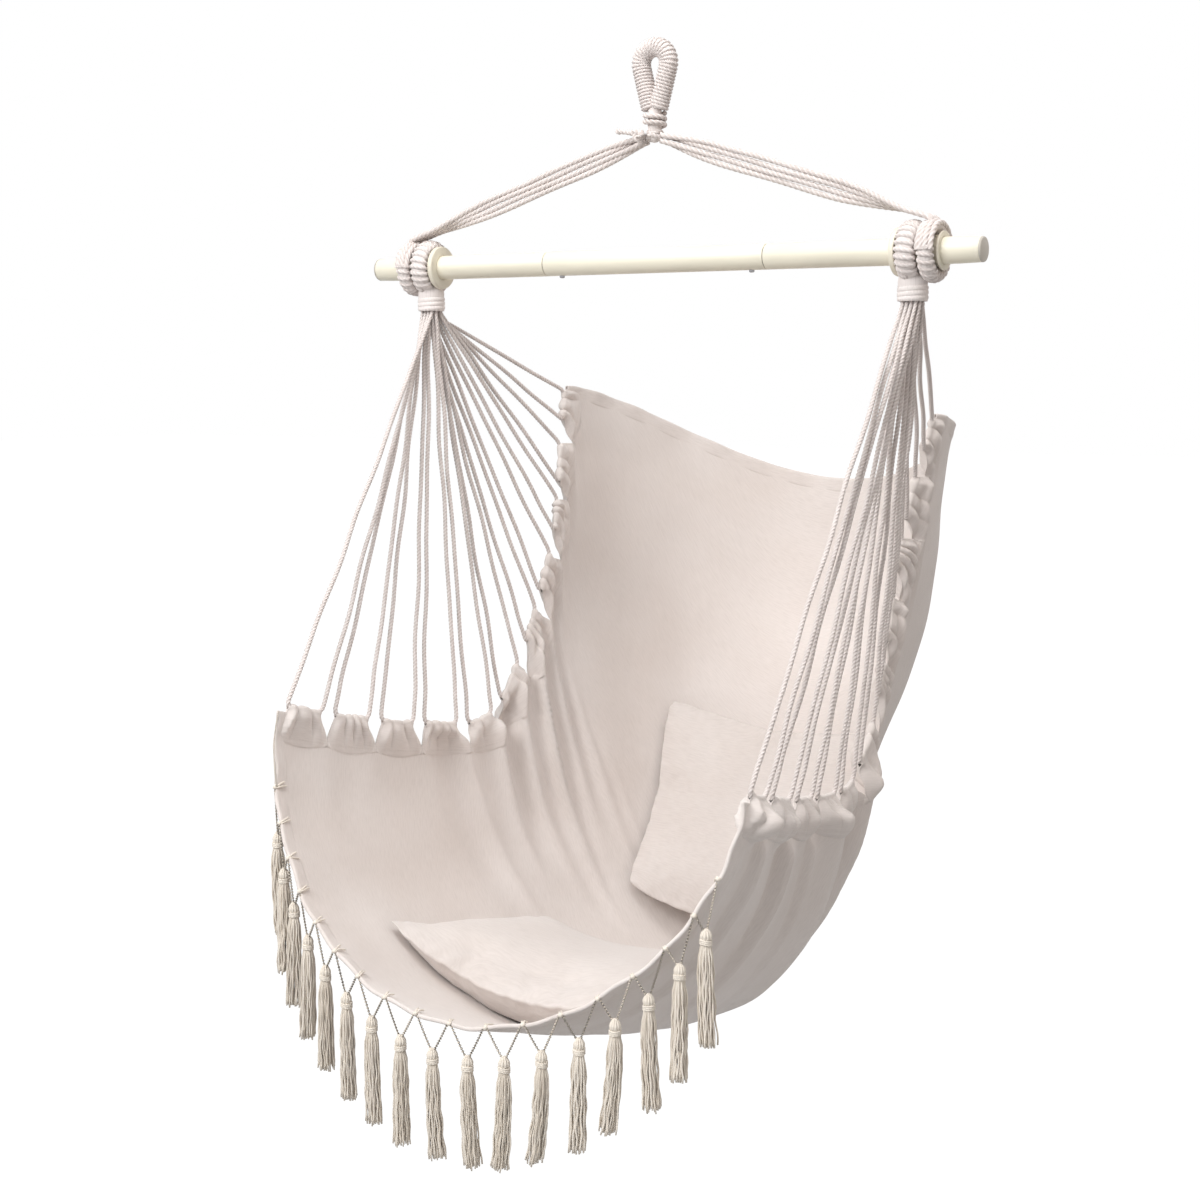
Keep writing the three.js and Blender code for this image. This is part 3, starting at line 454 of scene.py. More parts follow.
def paintMaterial(name, colour, roughness, grain=0.15):
    # Satin paint or moulded plastic: faint orange peel, faint handling marks in the roughness
    material, nodes, links, shader = newMaterial(name, colour, roughness)
    place = nodes.new("ShaderNodeTexCoord").outputs["Object"]
    peel = noise(nodes, links, place, 260, 2)
    marks = noise(nodes, links, place, 30, 3, (0.3, 1, 1))
    darker = tuple(0.93 * value for value in colour)
    links.new(ramp(nodes, links, marks, 0.3, 0.6, darker, colour), shader.inputs["Base Color"])
    wear = nodes.new("ShaderNodeMapRange")
    wear.inputs["To Min"].default_value = roughness - 0.08
    wear.inputs["To Max"].default_value = roughness + 0.1
    links.new(marks, wear.inputs["Value"])
    links.new(wear.outputs["Result"], shader.inputs["Roughness"])
    bumped(nodes, links, shader, [(peel, grain, 0.0003)])
    return material


def steelMaterial(name):
    material, nodes, links, shader = newMaterial(name, (0.33, 0.33, 0.34), 0.3, metal=1.0)
    place = nodes.new("ShaderNodeTexCoord").outputs["Object"]
    brushed = noise(nodes, links, place, 700, 2, (1, 1, 0.1))
    bumped(nodes, links, shader, [(brushed, 0.2, 0.0002)])
    return material


cottonCloth = canvasMaterial("seatCanvas")
hemCloth = canvasMaterial("hemCanvas", stitchDepth=0.04)
# The cushions are covered in the seat's canvas, darkened as painted shade
cushionCloth = canvasMaterial("cushionCanvas", shade=0.885)
cordRope = ropeMaterial("cordRope")
wrapYarn = ropeMaterial("wrapYarn", {**ropeYarn, "dark": (0.72, 0.65, 0.62)}, fibres=5)
tasselTones = {"light": (0.87, 0.80, 0.71), "dark": (0.66, 0.58, 0.48)}
tasselYarn = ropeMaterial("tasselYarn", {**ropeYarn, **tasselTones}, 3)
barPaint = paintMaterial("barPaint", (0.85, 0.80, 0.66), 0.42)
capPlastic = paintMaterial("capPlastic", (0.79, 0.735, 0.61), 0.5, grain=0.3)
endPlastic = paintMaterial("endPlastic", (0.56, 0.52, 0.46), 0.55, grain=0.3)
buttonSteel = steelMaterial("buttonSteel")
print("materials made")

# The seat cloth. s runs from the front hem to the back one, u from the left side to the right.
seat = {
    "width": 0.732,
    "depth": 1.175,
    "drop": 1.132,
    "lean": 0.022,
    "hem": [
        (1, -0.351, 0.574),
        (0.943, -0.223, 0.608),
        (0.888, -0.085, 0.634),
        (0.852, 0.017, 0.638),
        (0.842, 0.085, 0.574),
        (0.828, 0.136, 0.477),
        (0.825, 0.174, 0.371),
        (0.852, 0.2, 0.274),
        (0.891, 0.231, 0.181),
    ],
    "centre": [
        (0, -0.464, 0.861),
        (0, -0.281, 0.928),
        (0, -0.085, 0.979),
        (0, 0.102, 1),
        (0, 0.234, 0.958),
        (0, 0.319, 0.866),
        (0, 0.387, 0.742),
        (0, 0.455, 0.583),
        (0, 0.508, 0.433),
        (0, 0.536, 0.305),
    ],
    "bunches": 11,
    "rows": 221,
    "columns": 161,
    "thickness": 0.0016,
    "edgeDepth": 0.037,  # where the cloth ends between the two layers of its side hems
    "backFrom": 0.45,  # share of the way from the front hem to the back hem
    "depthPower": (1.45, 0.3),
    "dropPower": (1.2, 0.9),
    "pouch": 0.010,
    "swells": [(0.024, 0.8, 0.11), (-0.050, 0.54, 0.13)],  # height, place and width
    "flat": (1.12, 1.66),
}


def lineThrough(shares):
    # A Catmull-Rom line whose knots are spread by their distances seen from the side
    points = np.array(shares) * [seat["width"] / 2, seat["depth"], -seat["drop"]]
    reach = np.concatenate([[0], np.cumsum(np.hypot(*np.diff(points[:, 1:], axis=0).T))])
    ends = np.concatenate([[2 * points[0] - points[1]], points, [2 * points[-1] - points[-2]]])

    def at(s):
        goal = np.clip(s, 0, 1) * reach[-1]
        i = np.clip(np.searchsorted(reach, goal, side="right") - 1, 0, len(points) - 2)
        f = ((goal - reach[i]) / (reach[i + 1] - reach[i]))[..., None]
        p, q, r, t = ends[i], ends[i + 1], ends[i + 2], ends[i + 3]
        bend = (2 * p - 5 * q + 4 * r - t) * f**2 + (3 * q - p - 3 * r + t) * f**3
        return 0.5 * (2 * q + (r - p) * f + bend)

    return at


hemLine = lineThrough(seat["hem"])
centreLine = lineThrough(seat["centre"])


def clothPoint(s, u):
    # Across, x follows a sine and the drop and depth follow powers of a cosine from hem to middle.
    # The pouch, a sine of twice the turn, swells along the seat by two bell curves
    s, u = np.broadcast_arrays(np.asarray(s, float), np.asarray(u, float))
    hem, centre = hemLine(s), centreLine(s)
    turn = np.abs(u) * math.pi / 2
    cosine = np.maximum(np.cos(turn), 0)
    back = np.maximum(0, (s - seat["backFrom"]) / (1 - seat["backFrom"]))
    least, more = seat["depthPower"]
    depthBend = cosine ** (least - more * np.minimum(1, s / 0.5))
    least, more = seat["dropPower"]
    dropBend = cosine ** (least + more * back**2)
    pouch = seat["pouch"]
    for height, place, width in seat["swells"]:
        pouch = pouch + height * np.exp(-(((s - place) / width) ** 2))
    x = (hem[..., 0] * np.sin(turn) + pouch * np.sin(2 * turn)) * np.sign(u)
    y = hem[..., 1] + (centre[..., 1] - hem[..., 1]) * depthBend
    z = hem[..., 2] + (centre[..., 2] - hem[..., 2]) * dropBend
    return np.stack([x, y, z - seat["lean"] * x / (seat["width"] / 2) - barDrop], axis=-1)


def clothNormal(s, u, step=0.01):
    # Towards the sitter
    alongS = clothPoint(np.minimum(s + step, 1), u) - clothPoint(np.maximum(s - step, 0), u)
    alongU = clothPoint(s, np.minimum(u + step, 1)) - clothPoint(s, np.maximum(u - step, -1))
    return unit(np.cross(alongU, alongS))


def depthTable():
    # |u| for each distance in from the side hem, row by row of s
    sRows, uSamples, depths = spread(0, 1, 201), spread(1, 0.55, 91), spread(0, 0.1, 51)
    points = clothPoint(sRows[:, None], uSamples[None])
    steps = np.linalg.norm(np.diff(points, axis=1), axis=-1)
    reach = np.concatenate([np.zeros((len(sRows), 1)), np.cumsum(steps, axis=1)], axis=1)
    return np.stack([np.interp(depths, row, uSamples) for row in reach])


uTable = depthTable()


def inwardU(s, depth):
    s, depth = np.broadcast_arrays(s, depth)
    row = np.clip(s, 0, 1) * (uTable.shape[0] - 1)
    column = np.clip(depth / 0.1, 0, 1) * (uTable.shape[1] - 1)
    i = np.minimum(row.astype(int), uTable.shape[0] - 2)
    j = np.minimum(column.astype(int), uTable.shape[1] - 2)
    f, g = row - i, column - j
    low = uTable[i, j] * (1 - g) + uTable[i, j + 1] * g
    high = uTable[i + 1, j] * (1 - g) + uTable[i + 1, j + 1] * g
    return low * (1 - f) + high * f


folds = {
    "front": (0.003, 0.02),  # heights on the left and on the right
    "elbow": 0.019,
    "back": 0.007,
    "notch": -0.7,  # how far a fold draws in at a notch, as a share of its height
    "toElbow": (0.24, 0.36),  # where the front's folds turn into the elbow's, in s
    "slant": 1.2,  # how far the folds lean, in bunches for each half width
    "slantFrom": (0.32, 0.7),
    "frontEnd": 0.3,  # share of the half width where they have gone
    "elbowEnd": 0.62,
    "backEnd": 0.17,
    "tautEnd": 0.35,  # how much further the right front's pleats run
    "uneven": 0.12,
    "wave": 0.0018,
}


def foldOffset(s, u):
    # Outward swell behind each bunch, drawn in at its notches: the size of a sine, blunted where
    # it is zero. On the right front it is a pleat, which falls slowly and comes back fast. Further
    # back the folds lean, so that they run down the panel, and they fade towards the middle
    inward = 1 - np.abs(u)
    elbowShare = rise(s, *folds["toElbow"])
    phase = seat["bunches"] * (s + folds["slant"] * rise(s, *folds["slantFrom"]) * inward)
    swell = (np.sqrt(np.sin(math.pi * phase) ** 2 + 0.02) - 0.1414) / 0.8685
    strength = 0.85 + 0.3 * np.sin(2.6 * np.floor(phase) + 0.5)
    ridge = swell * strength * (1 - folds["notch"]) + folds["notch"]
    across = phase - np.floor(phase)
    pleat = 0.5 - np.minimum(across / 0.88, 1) + rise(across, 0.86, 1)
    ridge = mixed(ridge, pleat, (u > 0) * rise(inward, 0.07, 0.16) * (1 - elbowShare))
    left, right = folds["front"]
    height = mixed(np.where(u > 0, right, left), folds["elbow"], rise(s, 0.26, 0.4))
    height = height + (folds["back"] - folds["elbow"]) * rise(s, 0.53, 0.66)
    height = height * (1 - rise(s, 0.9, 0.985)) * rise(s, 0, 0.03)
    leftEnd = mixed(folds["frontEnd"], folds["elbowEnd"], elbowShare)
    rightEnd = folds["elbowEnd"] + folds["tautEnd"] * (1 - elbowShare)
    end = np.where(u > 0, rightEnd, leftEnd)
    end = end + (folds["backEnd"] - folds["elbowEnd"]) * rise(s, 0.5, 0.64)
    end = end + folds["uneven"] * np.sin(2.1 * phase) * (1 - rise(s, 0.5, 0.62))
    reach = rise(inward, 0, 0.06) * (1 - rise(inward, 0.1, end)) * (1 + 0.25 * np.sin(3.7 * phase + 1))
    wave = np.sin(tau * (3.1 * s + 1.7 * u) + 0.4) * np.sin(tau * (2.3 * u - 0.8 * s) + 1.1)
    ripple = 0.5 * np.sin(tau * (9 * s + 2.2 * u * u)) * np.sin(tau * (1.4 * u + 2.2 * s))
    return height * ridge * reach + folds["wave"] * (wave + ripple) * rise(inward, 0.05, 0.3)


def dressedPoint(s, u):
    return clothPoint(s, u) - clothNormal(s, u) * foldOffset(s, u)[..., None]


def makeSeatCloth():
    # The dressed surface between the side hems, with its flat places from its own arc lengths
    s = np.repeat(spread(0, 1, seat["rows"])[:, None], seat["columns"], axis=1)
    share = spread(-1, 1, seat["columns"])[None]
    u = share * inwardU(s, np.full_like(s, seat["edgeDepth"]))
    points = dressedPoint(s, u)
    across = np.cumsum(np.linalg.norm(np.diff(points, axis=1, prepend=points[:, :1]), axis=-1), axis=1)
    along = np.cumsum(np.linalg.norm(np.diff(points, axis=0, prepend=points[:1]), axis=-1), axis=0)
    across = across - across[:, seat["columns"] // 2][:, None]
    part = gridPart(points, np.stack([across, along], axis=-1))
    nodes = ["seat_fabric"]
    return makePiece("seatCloth", [part], cottonCloth, "seat", nodes, wall=seat["thickness"])


sleeve = {
    "depth": (0.044, 0.051),  # where its inner stitching runs: at the notches, in mid bunch
    "roll": (0.0049, 0.0062),  # radius round the cord: front and back bunches
    "cordPlace": 0.0031,  # how far outside the cloth's edge the cord lies
    "edgeGap": -0.0003,
    "narrow": ((0.17, 0.17), (0.36, 0.05)),  # how far its top stops short of each notch: front, back
    "notchTop": -0.008,
    "notchDepth": 0.036,
    "wall": 0.0013,
    "along": 61,
    "around": 41,
    "fold": 0.36,  # share of the way from edge to stitching that goes round the cord
    "puffs": (3, 4, 3, 4, 2, 3, 4, 3, 4, 3, 3),  # rolls between creases, bunch by bunch
    "pinch": 0.5,  # how far a crease draws the roll in
    "bulge": 0.0055,  # how far a puff pushes the edge out
    "crease": 0.0048,
    "pillow": (0.003, 0.008),  # how far it puffs up, on the left and on the right
    "wrinkle": 0.0013,
    "wrinklePitch": 0.0105,
    "sway": 0.0016,
    "swayFrom": (-0.004, 0.01),  # depths between which it sets in, and ends
    "swayTo": (0.02, 0.04),
    "wayOut": 0.012,  # depth from which the way out of the cloth is measured
    "shallowest": 0.006,  # least depth at which its normal is taken
    "flatLength": 0.09,
    "flatEdge": -0.004,
}


def bunchBeat(bunch, sign):
    # A number that makes each bunch its own, fed to sines
    return bunch * 1.7 + (0.6 if sign > 0 else 0)


def notchSize(bunch, sign):
    return 1 + 0.3 * math.sin(1.9 * bunchBeat(bunch, sign))


def frontToBack(pair, bunch):
    # From the front bunches' value to the back ones'
    return mixed(*pair, rise(bunch, 4, 6.5))


def makeSideHem(name, sign):
    # Each bunch is a sleeve folded over its cord: a half circle about the cord, and two layers
    # that close in on the cloth between them. v runs from the outer stitching to the inner.
    # Creases cross it and fade inwards; between them it puffs up, and its two mouths lie flat
    a = spread(0, 1, sleeve["along"])[:, None]
    v = spread(-1, 1, sleeve["around"])[None]
    fold = sleeve["fold"]
    lower = np.clip((np.abs(v) - fold) / (1 - fold), 0, 1) + 0 * a
    turn = np.clip(np.abs(v) / fold, 0, 1) * math.pi / 2
    openShare = rise(a, 0, 0.16) * (1 - rise(a, 0.84, 1))
    parts = []
    for bunch in range(seat["bunches"]):
        beat = bunchBeat(bunch, sign)
        # The creases, and the swell between them
        shift = 0.05 * np.sin(tau * (1.1 * a + 0.23 * beat)) + 0.10 * math.sin(2.9 * beat) * lower
        swell = np.abs(np.sin(math.pi * sleeve["puffs"][bunch] * (a + shift * openShare))) ** 0.6
        swelling = swell * (0.5 + 0.25 * np.sin(tau * (0.8 * a + 0.41 * beat))) - sleeve["pinch"]
        puff = 1 + openShare * swelling
        puff = 1 + (puff - 1) * (1 - 0.85 * rise(lower, 0.15, 0.95))
        swollen = sleeve["crease"] * (swell - 0.35) * openShare
        swollen = swollen * rise(lower, 0, 0.12) * (1 - rise(lower, 0.35, 0.9))
        # How far in from the edge each point lies
        cord = -sleeve["cordPlace"]
        size = frontToBack(sleeve["roll"], bunch) * (0.58 + 0.42 * rise(a, 0, 0.08) * (1 - rise(a, 0.92, 1)))
        inner = mixed(*sleeve["depth"], np.sin(math.pi * a))
        depth = cord - size * np.cos(turn) * (lower == 0) - sleeve["bulge"] * (puff - 1) * (1 - lower)
        depth = depth + lower * (inner - cord)
        # Half the distance between the two layers
        close = lower ** (0.12 + 0.93 * openShare)
        half = np.where(lower > 0, mixed(size, sleeve["edgeGap"], close), size * np.sin(turn))
        half = half * puff + swollen
        pillow = sleeve["pillow"][int(sign > 0)] * frontToBack((1, 0.6), bunch)
        pillow = pillow * (1 + 0.3 * math.sin(2.3 * beat))
        half = half + pillow * openShare * np.sin(math.pi * lower) ** 0.8 * (0.45 + 0.55 * swell)
        if bunch == 0:
            bound = (1 - rise(a, 0.12, 0.4)) * rise(lower, 0.1, 0.3) * (1 - rise(lower, 0.8, 0.95))
            half = half + sleeve["wrinkle"] * bound * np.sin(tau * depth / sleeve["wrinklePitch"] + 5 * a)
        half = half * np.sign(v)
        # The notches cut into its top, and its place on the cloth
        cut = 1 - rise(depth, sleeve["notchTop"], sleeve["notchDepth"])
        cut = cut * notchSize(bunch, sign)
        low, high = (frontToBack(pair, bunch) for pair in zip(*sleeve["narrow"]))
        s = (bunch + low * cut + a * (1 - (low + high) * cut)) / seat["bunches"]
        u = sign * inwardU(s, np.maximum(depth, 0))
        edge = clothPoint(s, np.full_like(s, sign))
        outward = unit(edge - clothPoint(s, sign * inwardU(s, np.full_like(s, sleeve["wayOut"]))))
        normal = clothNormal(s, sign * inwardU(s, np.maximum(depth, sleeve["shallowest"])))
        sway = sleeve["sway"] * np.sin(tau * (0.9 * a + 0.3 * beat))
        sway = sway * rise(depth, *sleeve["swayFrom"]) * (1 - rise(depth, *sleeve["swayTo"])) * openShare
        points = clothPoint(s, u) + outward * np.maximum(-depth, 0)[..., None]
        points = points - normal * (foldOffset(s, u) * rise(depth, 0, 0.02))[..., None]
        points = points + normal * (half + sway)[..., None]
        flat = np.where(lower > 0, lower * inner, sleeve["flatEdge"])
        length = sleeve["flatLength"] * a + 0 * flat
        parts.append(gridPart(points, np.stack([length, flat], axis=-1)))
    return makePiece(name, parts, hemCloth, "seat", wall=sleeve["wall"])


endHem = {
    "depth": 0.022,
    "roll": 0.0022,
    "edgeGap": -0.0001,
    "wall": 0.0014,
    "along": 241,
    "around": 17,
    "fold": 0.3,
    "curl": 0.0015,
    "sample": 0.03,  # distance in s over which the way out of the cloth is measured
}


def makeEndHem(name, atBack):
    # The hem of the front or back edge: a half circle round the edge of the cloth, and two layers
    # that close in on it down to the stitching
    v = spread(-1, 1, endHem["around"])[None]
    u = spread(-0.985, 0.985, endHem["along"])[:, None]
    fold, roll, sample = endHem["fold"], endHem["roll"], endHem["sample"]
    lower = np.clip((np.abs(v) - fold) / (1 - fold), 0, 1)
    turn = np.clip(np.abs(v) / fold, 0, 1) * math.pi / 2
    depth = np.where(lower > 0, lower * endHem["depth"], -roll * np.cos(turn)) + 0 * u
    half = np.where(lower > 0, mixed(roll, endHem["edgeGap"], lower), roll * np.sin(turn)) * np.sign(v)
    edge, inner = (1.0, 1 - sample) if atBack else (0.0, sample)
    perS = np.linalg.norm(clothPoint(edge, u) - clothPoint(inner, u), axis=-1) / sample
    s = edge + (-1 if atBack else 1) * np.maximum(depth, 0) / perS
    u = u + 0 * depth
    outward = unit(clothPoint(np.full_like(u, edge), u) - clothPoint(np.full_like(u, inner), u))
    normal = clothNormal(s, u)
    wave = endHem["curl"] * np.sin(tau * 7.3 * u + 0.6) * (1 - lower)
    points = dressedPoint(s, u) + outward * np.maximum(-depth, 0)[..., None]
    points = points + normal * (half + wave)[..., None]
    uv = np.stack([0.55 * u, depth], axis=-1)
    return makePiece(name, [gridPart(points, uv)], hemCloth, "seat", wall=endHem["wall"])


# Harness cords: from the neck down to a bunch, through it, up again and over to the next one
harness = {
    "squeezed": 0.0059,  # diameter in the neck
    "free": 0.0073,
    "columns": (4, 5, 4, 5, 4),
    "slotPitch": 0.0062,
    "exitStagger": 0.004,
    "exitPlace": -0.0685,
    "slotPlace": -0.0513,
    "slotEase": 0.0025,
    "loopPlace": 0.4,
    "lay": 0.0165,  # length of one turn of the rope's lay
    "step": 0.0017,
    "cornerRadius": 0.014,
    "wobble": 0.0012,
    "wobbleLength": 0.21,
    "settled": 0.05,  # height over its bunch from which a cord hangs free
    "held": (0.14, 0.08),  # distances below the bar between which its wobble fades upwards
    "mouth": (0.13, 0.075),  # and between which it is drawn in
    "corner": ((0.13, 0.13), (0.32, 0.06)),  # where a cord enters a bunch, from its lower and upper end
}


def slotPlaces():
    # Slots in staggered columns, walked to and fro
    columns = harness["columns"]
    middle = (len(columns) - 1) / 2
    places = []
    for column, count in enumerate(columns):
        line = (np.arange(count) - (count - 1) / 2) * harness["slotPitch"]
        line = line[::-1] if column % 2 else line
        depth = middle - abs(column - middle)
        y = (column - middle) * harness["slotPitch"] * math.sqrt(3) / 2
        places += [(x, y, harness["exitPlace"] - depth * harness["exitStagger"]) for x in line]
    return places


def cordPoints(sign, cord, slots):
    # The corners of one cord's route, sharp, and its way through up to two bunches
    count, top = seat["bunches"], harness["slotPlace"]

    def slotPoint(leg, z):
        return np.array([sign * (harness["loopPlace"] + slots[leg][0]), slots[leg][1], z - barDrop])

    def edgePoint(bunch, share):
        s = np.array((bunch + share) / count)
        hem = clothPoint(s, np.array(float(sign)))
        inner = clothPoint(s, np.array(sign * 0.9))
        return hem + unit(hem - inner) * sleeve["cordPlace"]

    points = []
    for bunch in range(2 * cord, min(2 * cord + 2, count)):
        down, up = 2 * bunch, 2 * bunch + 1
        if points:
            points.append((slotPoint(down - 1, top) + slotPoint(down, top)) / 2)
        points += [slotPoint(down, top - harness["slotEase"]), slotPoint(down, slots[down][2])]
        vary = notchSize(bunch, sign)
        low, high = (frontToBack(pair, bunch) for pair in zip(*harness["corner"]))
        points += [edgePoint(bunch, low * vary), edgePoint(bunch, 0.5), edgePoint(bunch, 1 - high * vary)]
        points += [slotPoint(up, slots[up][2]), slotPoint(up, top - harness["slotEase"])]
    return points


def makeHarness():
    slots = slotPlaces()
    for side, sign in bothSides:
        for cord in range((seat["bunches"] + 1) // 2):
            points = cordPoints(sign, cord, slots)
            path = rounded(points, harness["cornerRadius"], harness["step"])
            reach = arcLength(path)
            bottom = points[3][2]
            free = rise(path[:, 2], bottom, bottom + harness["settled"])
            held, mouth = ([-barDrop - below for below in harness[key]] for key in ("held", "mouth"))
            free = free * (1 - rise(path[:, 2], *held))
            beat = reach / harness["wobbleLength"] + cord * 0.7 + (0.4 if sign > 0 else 0)
            sway = np.stack([np.sin(tau * beat), np.cos(tau * 1.37 * beat), 0 * beat], axis=1)
            path = path + sway * (harness["wobble"] * free)[:, None]
            facing = unit(np.cross(points[2] - points[1], points[4] - points[1]))
            inNeck = rise(path[:, 2], *mouth)
            radius = mixed(harness["free"], harness["squeezed"], inNeck) / 2
            part = laidRope(path, radius, facing, harness["lay"], groove=0.77)
            name, node = f"harnessCord{side}{cord + 1}", f"harness_cord_{side.lower()}_{cord + 1}"
            print(name, "length", reach[-1].round(3))
            makePiece(name, [part], cordRope, "seat", [node])


# The bar, its caps, bushes and snap buttons
bar = {
    "radius": 0.018,
    "wall": 0.0015,
    "seam": 0.182,
    "seamGap": 0.0009,
    "taper": 0.05,
    "taperStart": (0.02, 0.0002),  # how far along it is drawn in by how much
    "endRadius": 0.017,
    "gap": 0.0003,
    "spigot": (0.045, 0.03),  # how far it reaches into the middle tube and the outer one
    "ease": 0.0006,  # size of the rounds on the tubes' rims
}


def softened(profile, radius):
    # Each corner of a closed profile gives way to a small round of three points
    profile = np.array(profile, float)
    before, after = np.roll(profile, 1, axis=0), np.roll(profile, -1, axis=0)
    into, out = profile - before, after - profile
    shorter = np.minimum(np.linalg.norm(into, axis=1), np.linalg.norm(out, axis=1))
    reach = np.minimum(shorter * 0.4, radius)[:, None]
    start, end = profile - unit(into) * reach, profile + unit(out) * reach
    middle = (start + 2 * profile + end) / 4
    return np.stack([start, middle, end], axis=1).reshape(-1, 2)


def onBar(name, outline, sign, material, nodes=(), ease=0, sharp=40):
    # A closed outline of (place, radius) for the right side, turned about the bar's axis
    outline = [(sign * place, radius) for place, radius in outline]
    outline = softened(outline, ease) if ease else outline
    part = turnedPart(outline, centre=(0, 0, -barDrop))
    makePiece(name, [part], material, "bar", nodes, sharp=sharp, outward=True)


def makeMiddleTube():
    radius, bore, seam = bar["radius"], bar["radius"] - bar["wall"], bar["seam"]
    outline = [(-seam, radius), (seam, radius), (seam, bore), (-seam, bore)]
    onBar("barTubeMiddle", outline, 1, barPaint, ["bar_tube_middle"], bar["ease"])


def makeOuterTube(side, sign):
    radius, bore, seam = bar["radius"], bar["radius"] - bar["wall"], bar["seam"]
    along, inwards = bar["taperStart"]
    start, end = cap["place"] - bar["taper"], cap["place"] - bar["gap"]
    outer = [
        (seam + bar["seamGap"], bore),
        (seam + bar["seamGap"], radius),
        (start, radius),
        (start + along, radius - inwards),
        (end, bar["endRadius"]),
        (end, bar["endRadius"] - bar["wall"]),
        (start, bore),
    ]
    inward, outward = bar["spigot"]
    size = bore - bar["gap"]
    thin = size - bar["wall"]
    spigot = [(seam - inward, size), (seam + outward, size), (seam + outward, thin), (seam - inward, thin)]
    node = f"bar_tube_{side.lower()}"
    onBar(f"barTube{side}", outer, sign, barPaint, [node], bar["ease"])
    onBar(f"spigot{side}", spigot, sign, buttonSteel)


cap = {
    "place": 0.497,
    "lip": 0.003,
    "plug": 0.014,
    "plugWall": 0.0022,
    "recess": 0.0018,
    "edge": 0.0006,
    "dome": 0.0022,
}


def makeCap(side, sign):
    place, lip, size, edge = cap["place"], cap["lip"], bar["endRadius"], cap["edge"]
    outline = [
        (place - cap["plug"], onAxis),
        (place - cap["plug"], size - cap["plugWall"]),
        (place, size - cap["recess"]),
        (place, size),
        (place + edge, size),
        (place + lip * 0.75, size - edge),
        (place + lip, size - cap["dome"]),
        (place + lip, onAxis),
    ]
    nodes = [f"end_cap_{side.lower()}"]
    onBar(f"endCap{side}", outline, sign, endPlastic, nodes, sharp=50)


button = {
    "place": 0.158,
    "radius": 0.004,
    "out": 0.0035,
    "foot": -0.0125,
    "shoulder": -0.0141,
    "shoulderWidth": 0.0008,
    "dome": ((0.0018, 1), (0.0007, 0.86), (0.0001, 0.5)),  # depth, share of the radius
}


def makeButton(side, sign):
    top, head = -bar["radius"] - button["out"], button["radius"]
    wide = head + button["shoulderWidth"]
    outline = [
        (button["foot"], onAxis),
        (button["foot"], wide),
        (button["shoulder"], wide),
        (button["shoulder"], head),
        *[(top + depth, head * share) for depth, share in button["dome"]],
        (top, onAxis),
    ]
    part = turnedPart(outline, "z", 40, (sign * button["place"], 0, -barDrop))
    name, body, nodes = f"snapButton{side}", f"button_{side.lower()}", [f"snap_button_{side.lower()}"]
    makePiece(name, [part], buttonSteel, body, nodes, sharp=50, outward=True)


bush = {
    "collarPlace": 0.376,
    "collar": 0.0325,
    "thickness": 0.008,
    "barrel": 0.021,
    "flange": 0.026,
    "flangeWidth": 0.003,
    "front": 0.002,  # size of the round on the collar's inner face
    "frontMiddle": (0.0006, 0.0007),
    "back": 0.001,
    "ease": 0.0007,
}


def makeBush(side, sign):
    collar, wide, thick = bush["collarPlace"], bush["collar"], bush["thickness"]
    flange, barrel = ring["bridlePlace"] + ring["bridleHalf"] + bar["gap"], bush["barrel"]
    inner, front, back = bar["radius"] + bar["gap"], bush["front"], bush["back"]
    along, down = bush["frontMiddle"]
    outline = [
        (flange + bush["flangeWidth"], inner),
        (collar, inner),
        (collar, inner + front),
        (collar, wide - front),
        (collar + along, wide - down),
        (collar + front, wide),
        (collar + thick - back, wide),
        (collar + thick, wide - back),
        (collar + thick, barrel),
        (flange, barrel),
        (flange, bush["flange"]),
        (flange + bush["flangeWidth"], bush["flange"]),
    ]
    nodes = [f"bush_{side.lower()}"]
    onBar(f"bush{side}", outline, sign, capPlastic, nodes, bush["ease"])


def makeSprings():
    # The bent leaf inside each spigot, copied from the model with its doubled points merged
    for side, sign in bothSides:
        node = f"snap_spring_{side.lower()}"
        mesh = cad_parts[node].data.copy()
        worked(mesh, lambda made: bmesh.ops.remove_doubles(made, verts=made.verts, dist=0.00001))
        mesh.set_sharp_from_angle(angle=math.radians(40))
        mesh.materials.clear()
        mesh.materials.append(buttonSteel)
        obj = linked(f"snapSpring{side}", mesh)
        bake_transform(obj)
        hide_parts(node)


# Rope loops round the bar: an oval ring of rope, whipped with yarn
ring = {
    "radius": 0.0324,
    "halfHeight": 0.0107,
    "seatHalf": 0.0157,
    "bridleHalf": 0.0127,
    "seatPlace": 0.4,
    "bridlePlace": 0.4289,
    "yarnLay": 0.02,
}


def ringPart(centre, halfWidth, halfHeight):
    # An oval, half its width by a sine and half its height by a cosine, turned about the bar
    rows, columns = 240, 24
    psi = np.arange(rows)[:, None] * tau / rows
    w = np.arange(columns)[None] * tau / columns
    radius = ring["radius"] + halfHeight * np.cos(w)
    x = centre + halfWidth * np.sin(w)
    points = np.stack([x + 0 * psi, radius * np.sin(psi), -radius * np.cos(psi) - barDrop], axis=-1)
    across, along = np.meshgrid(spread(0, 3, columns + 1), spread(0, 0.2, rows + 1))
    return gridPart(points, np.stack([across, along], axis=-1), wrap=True, loop=True)


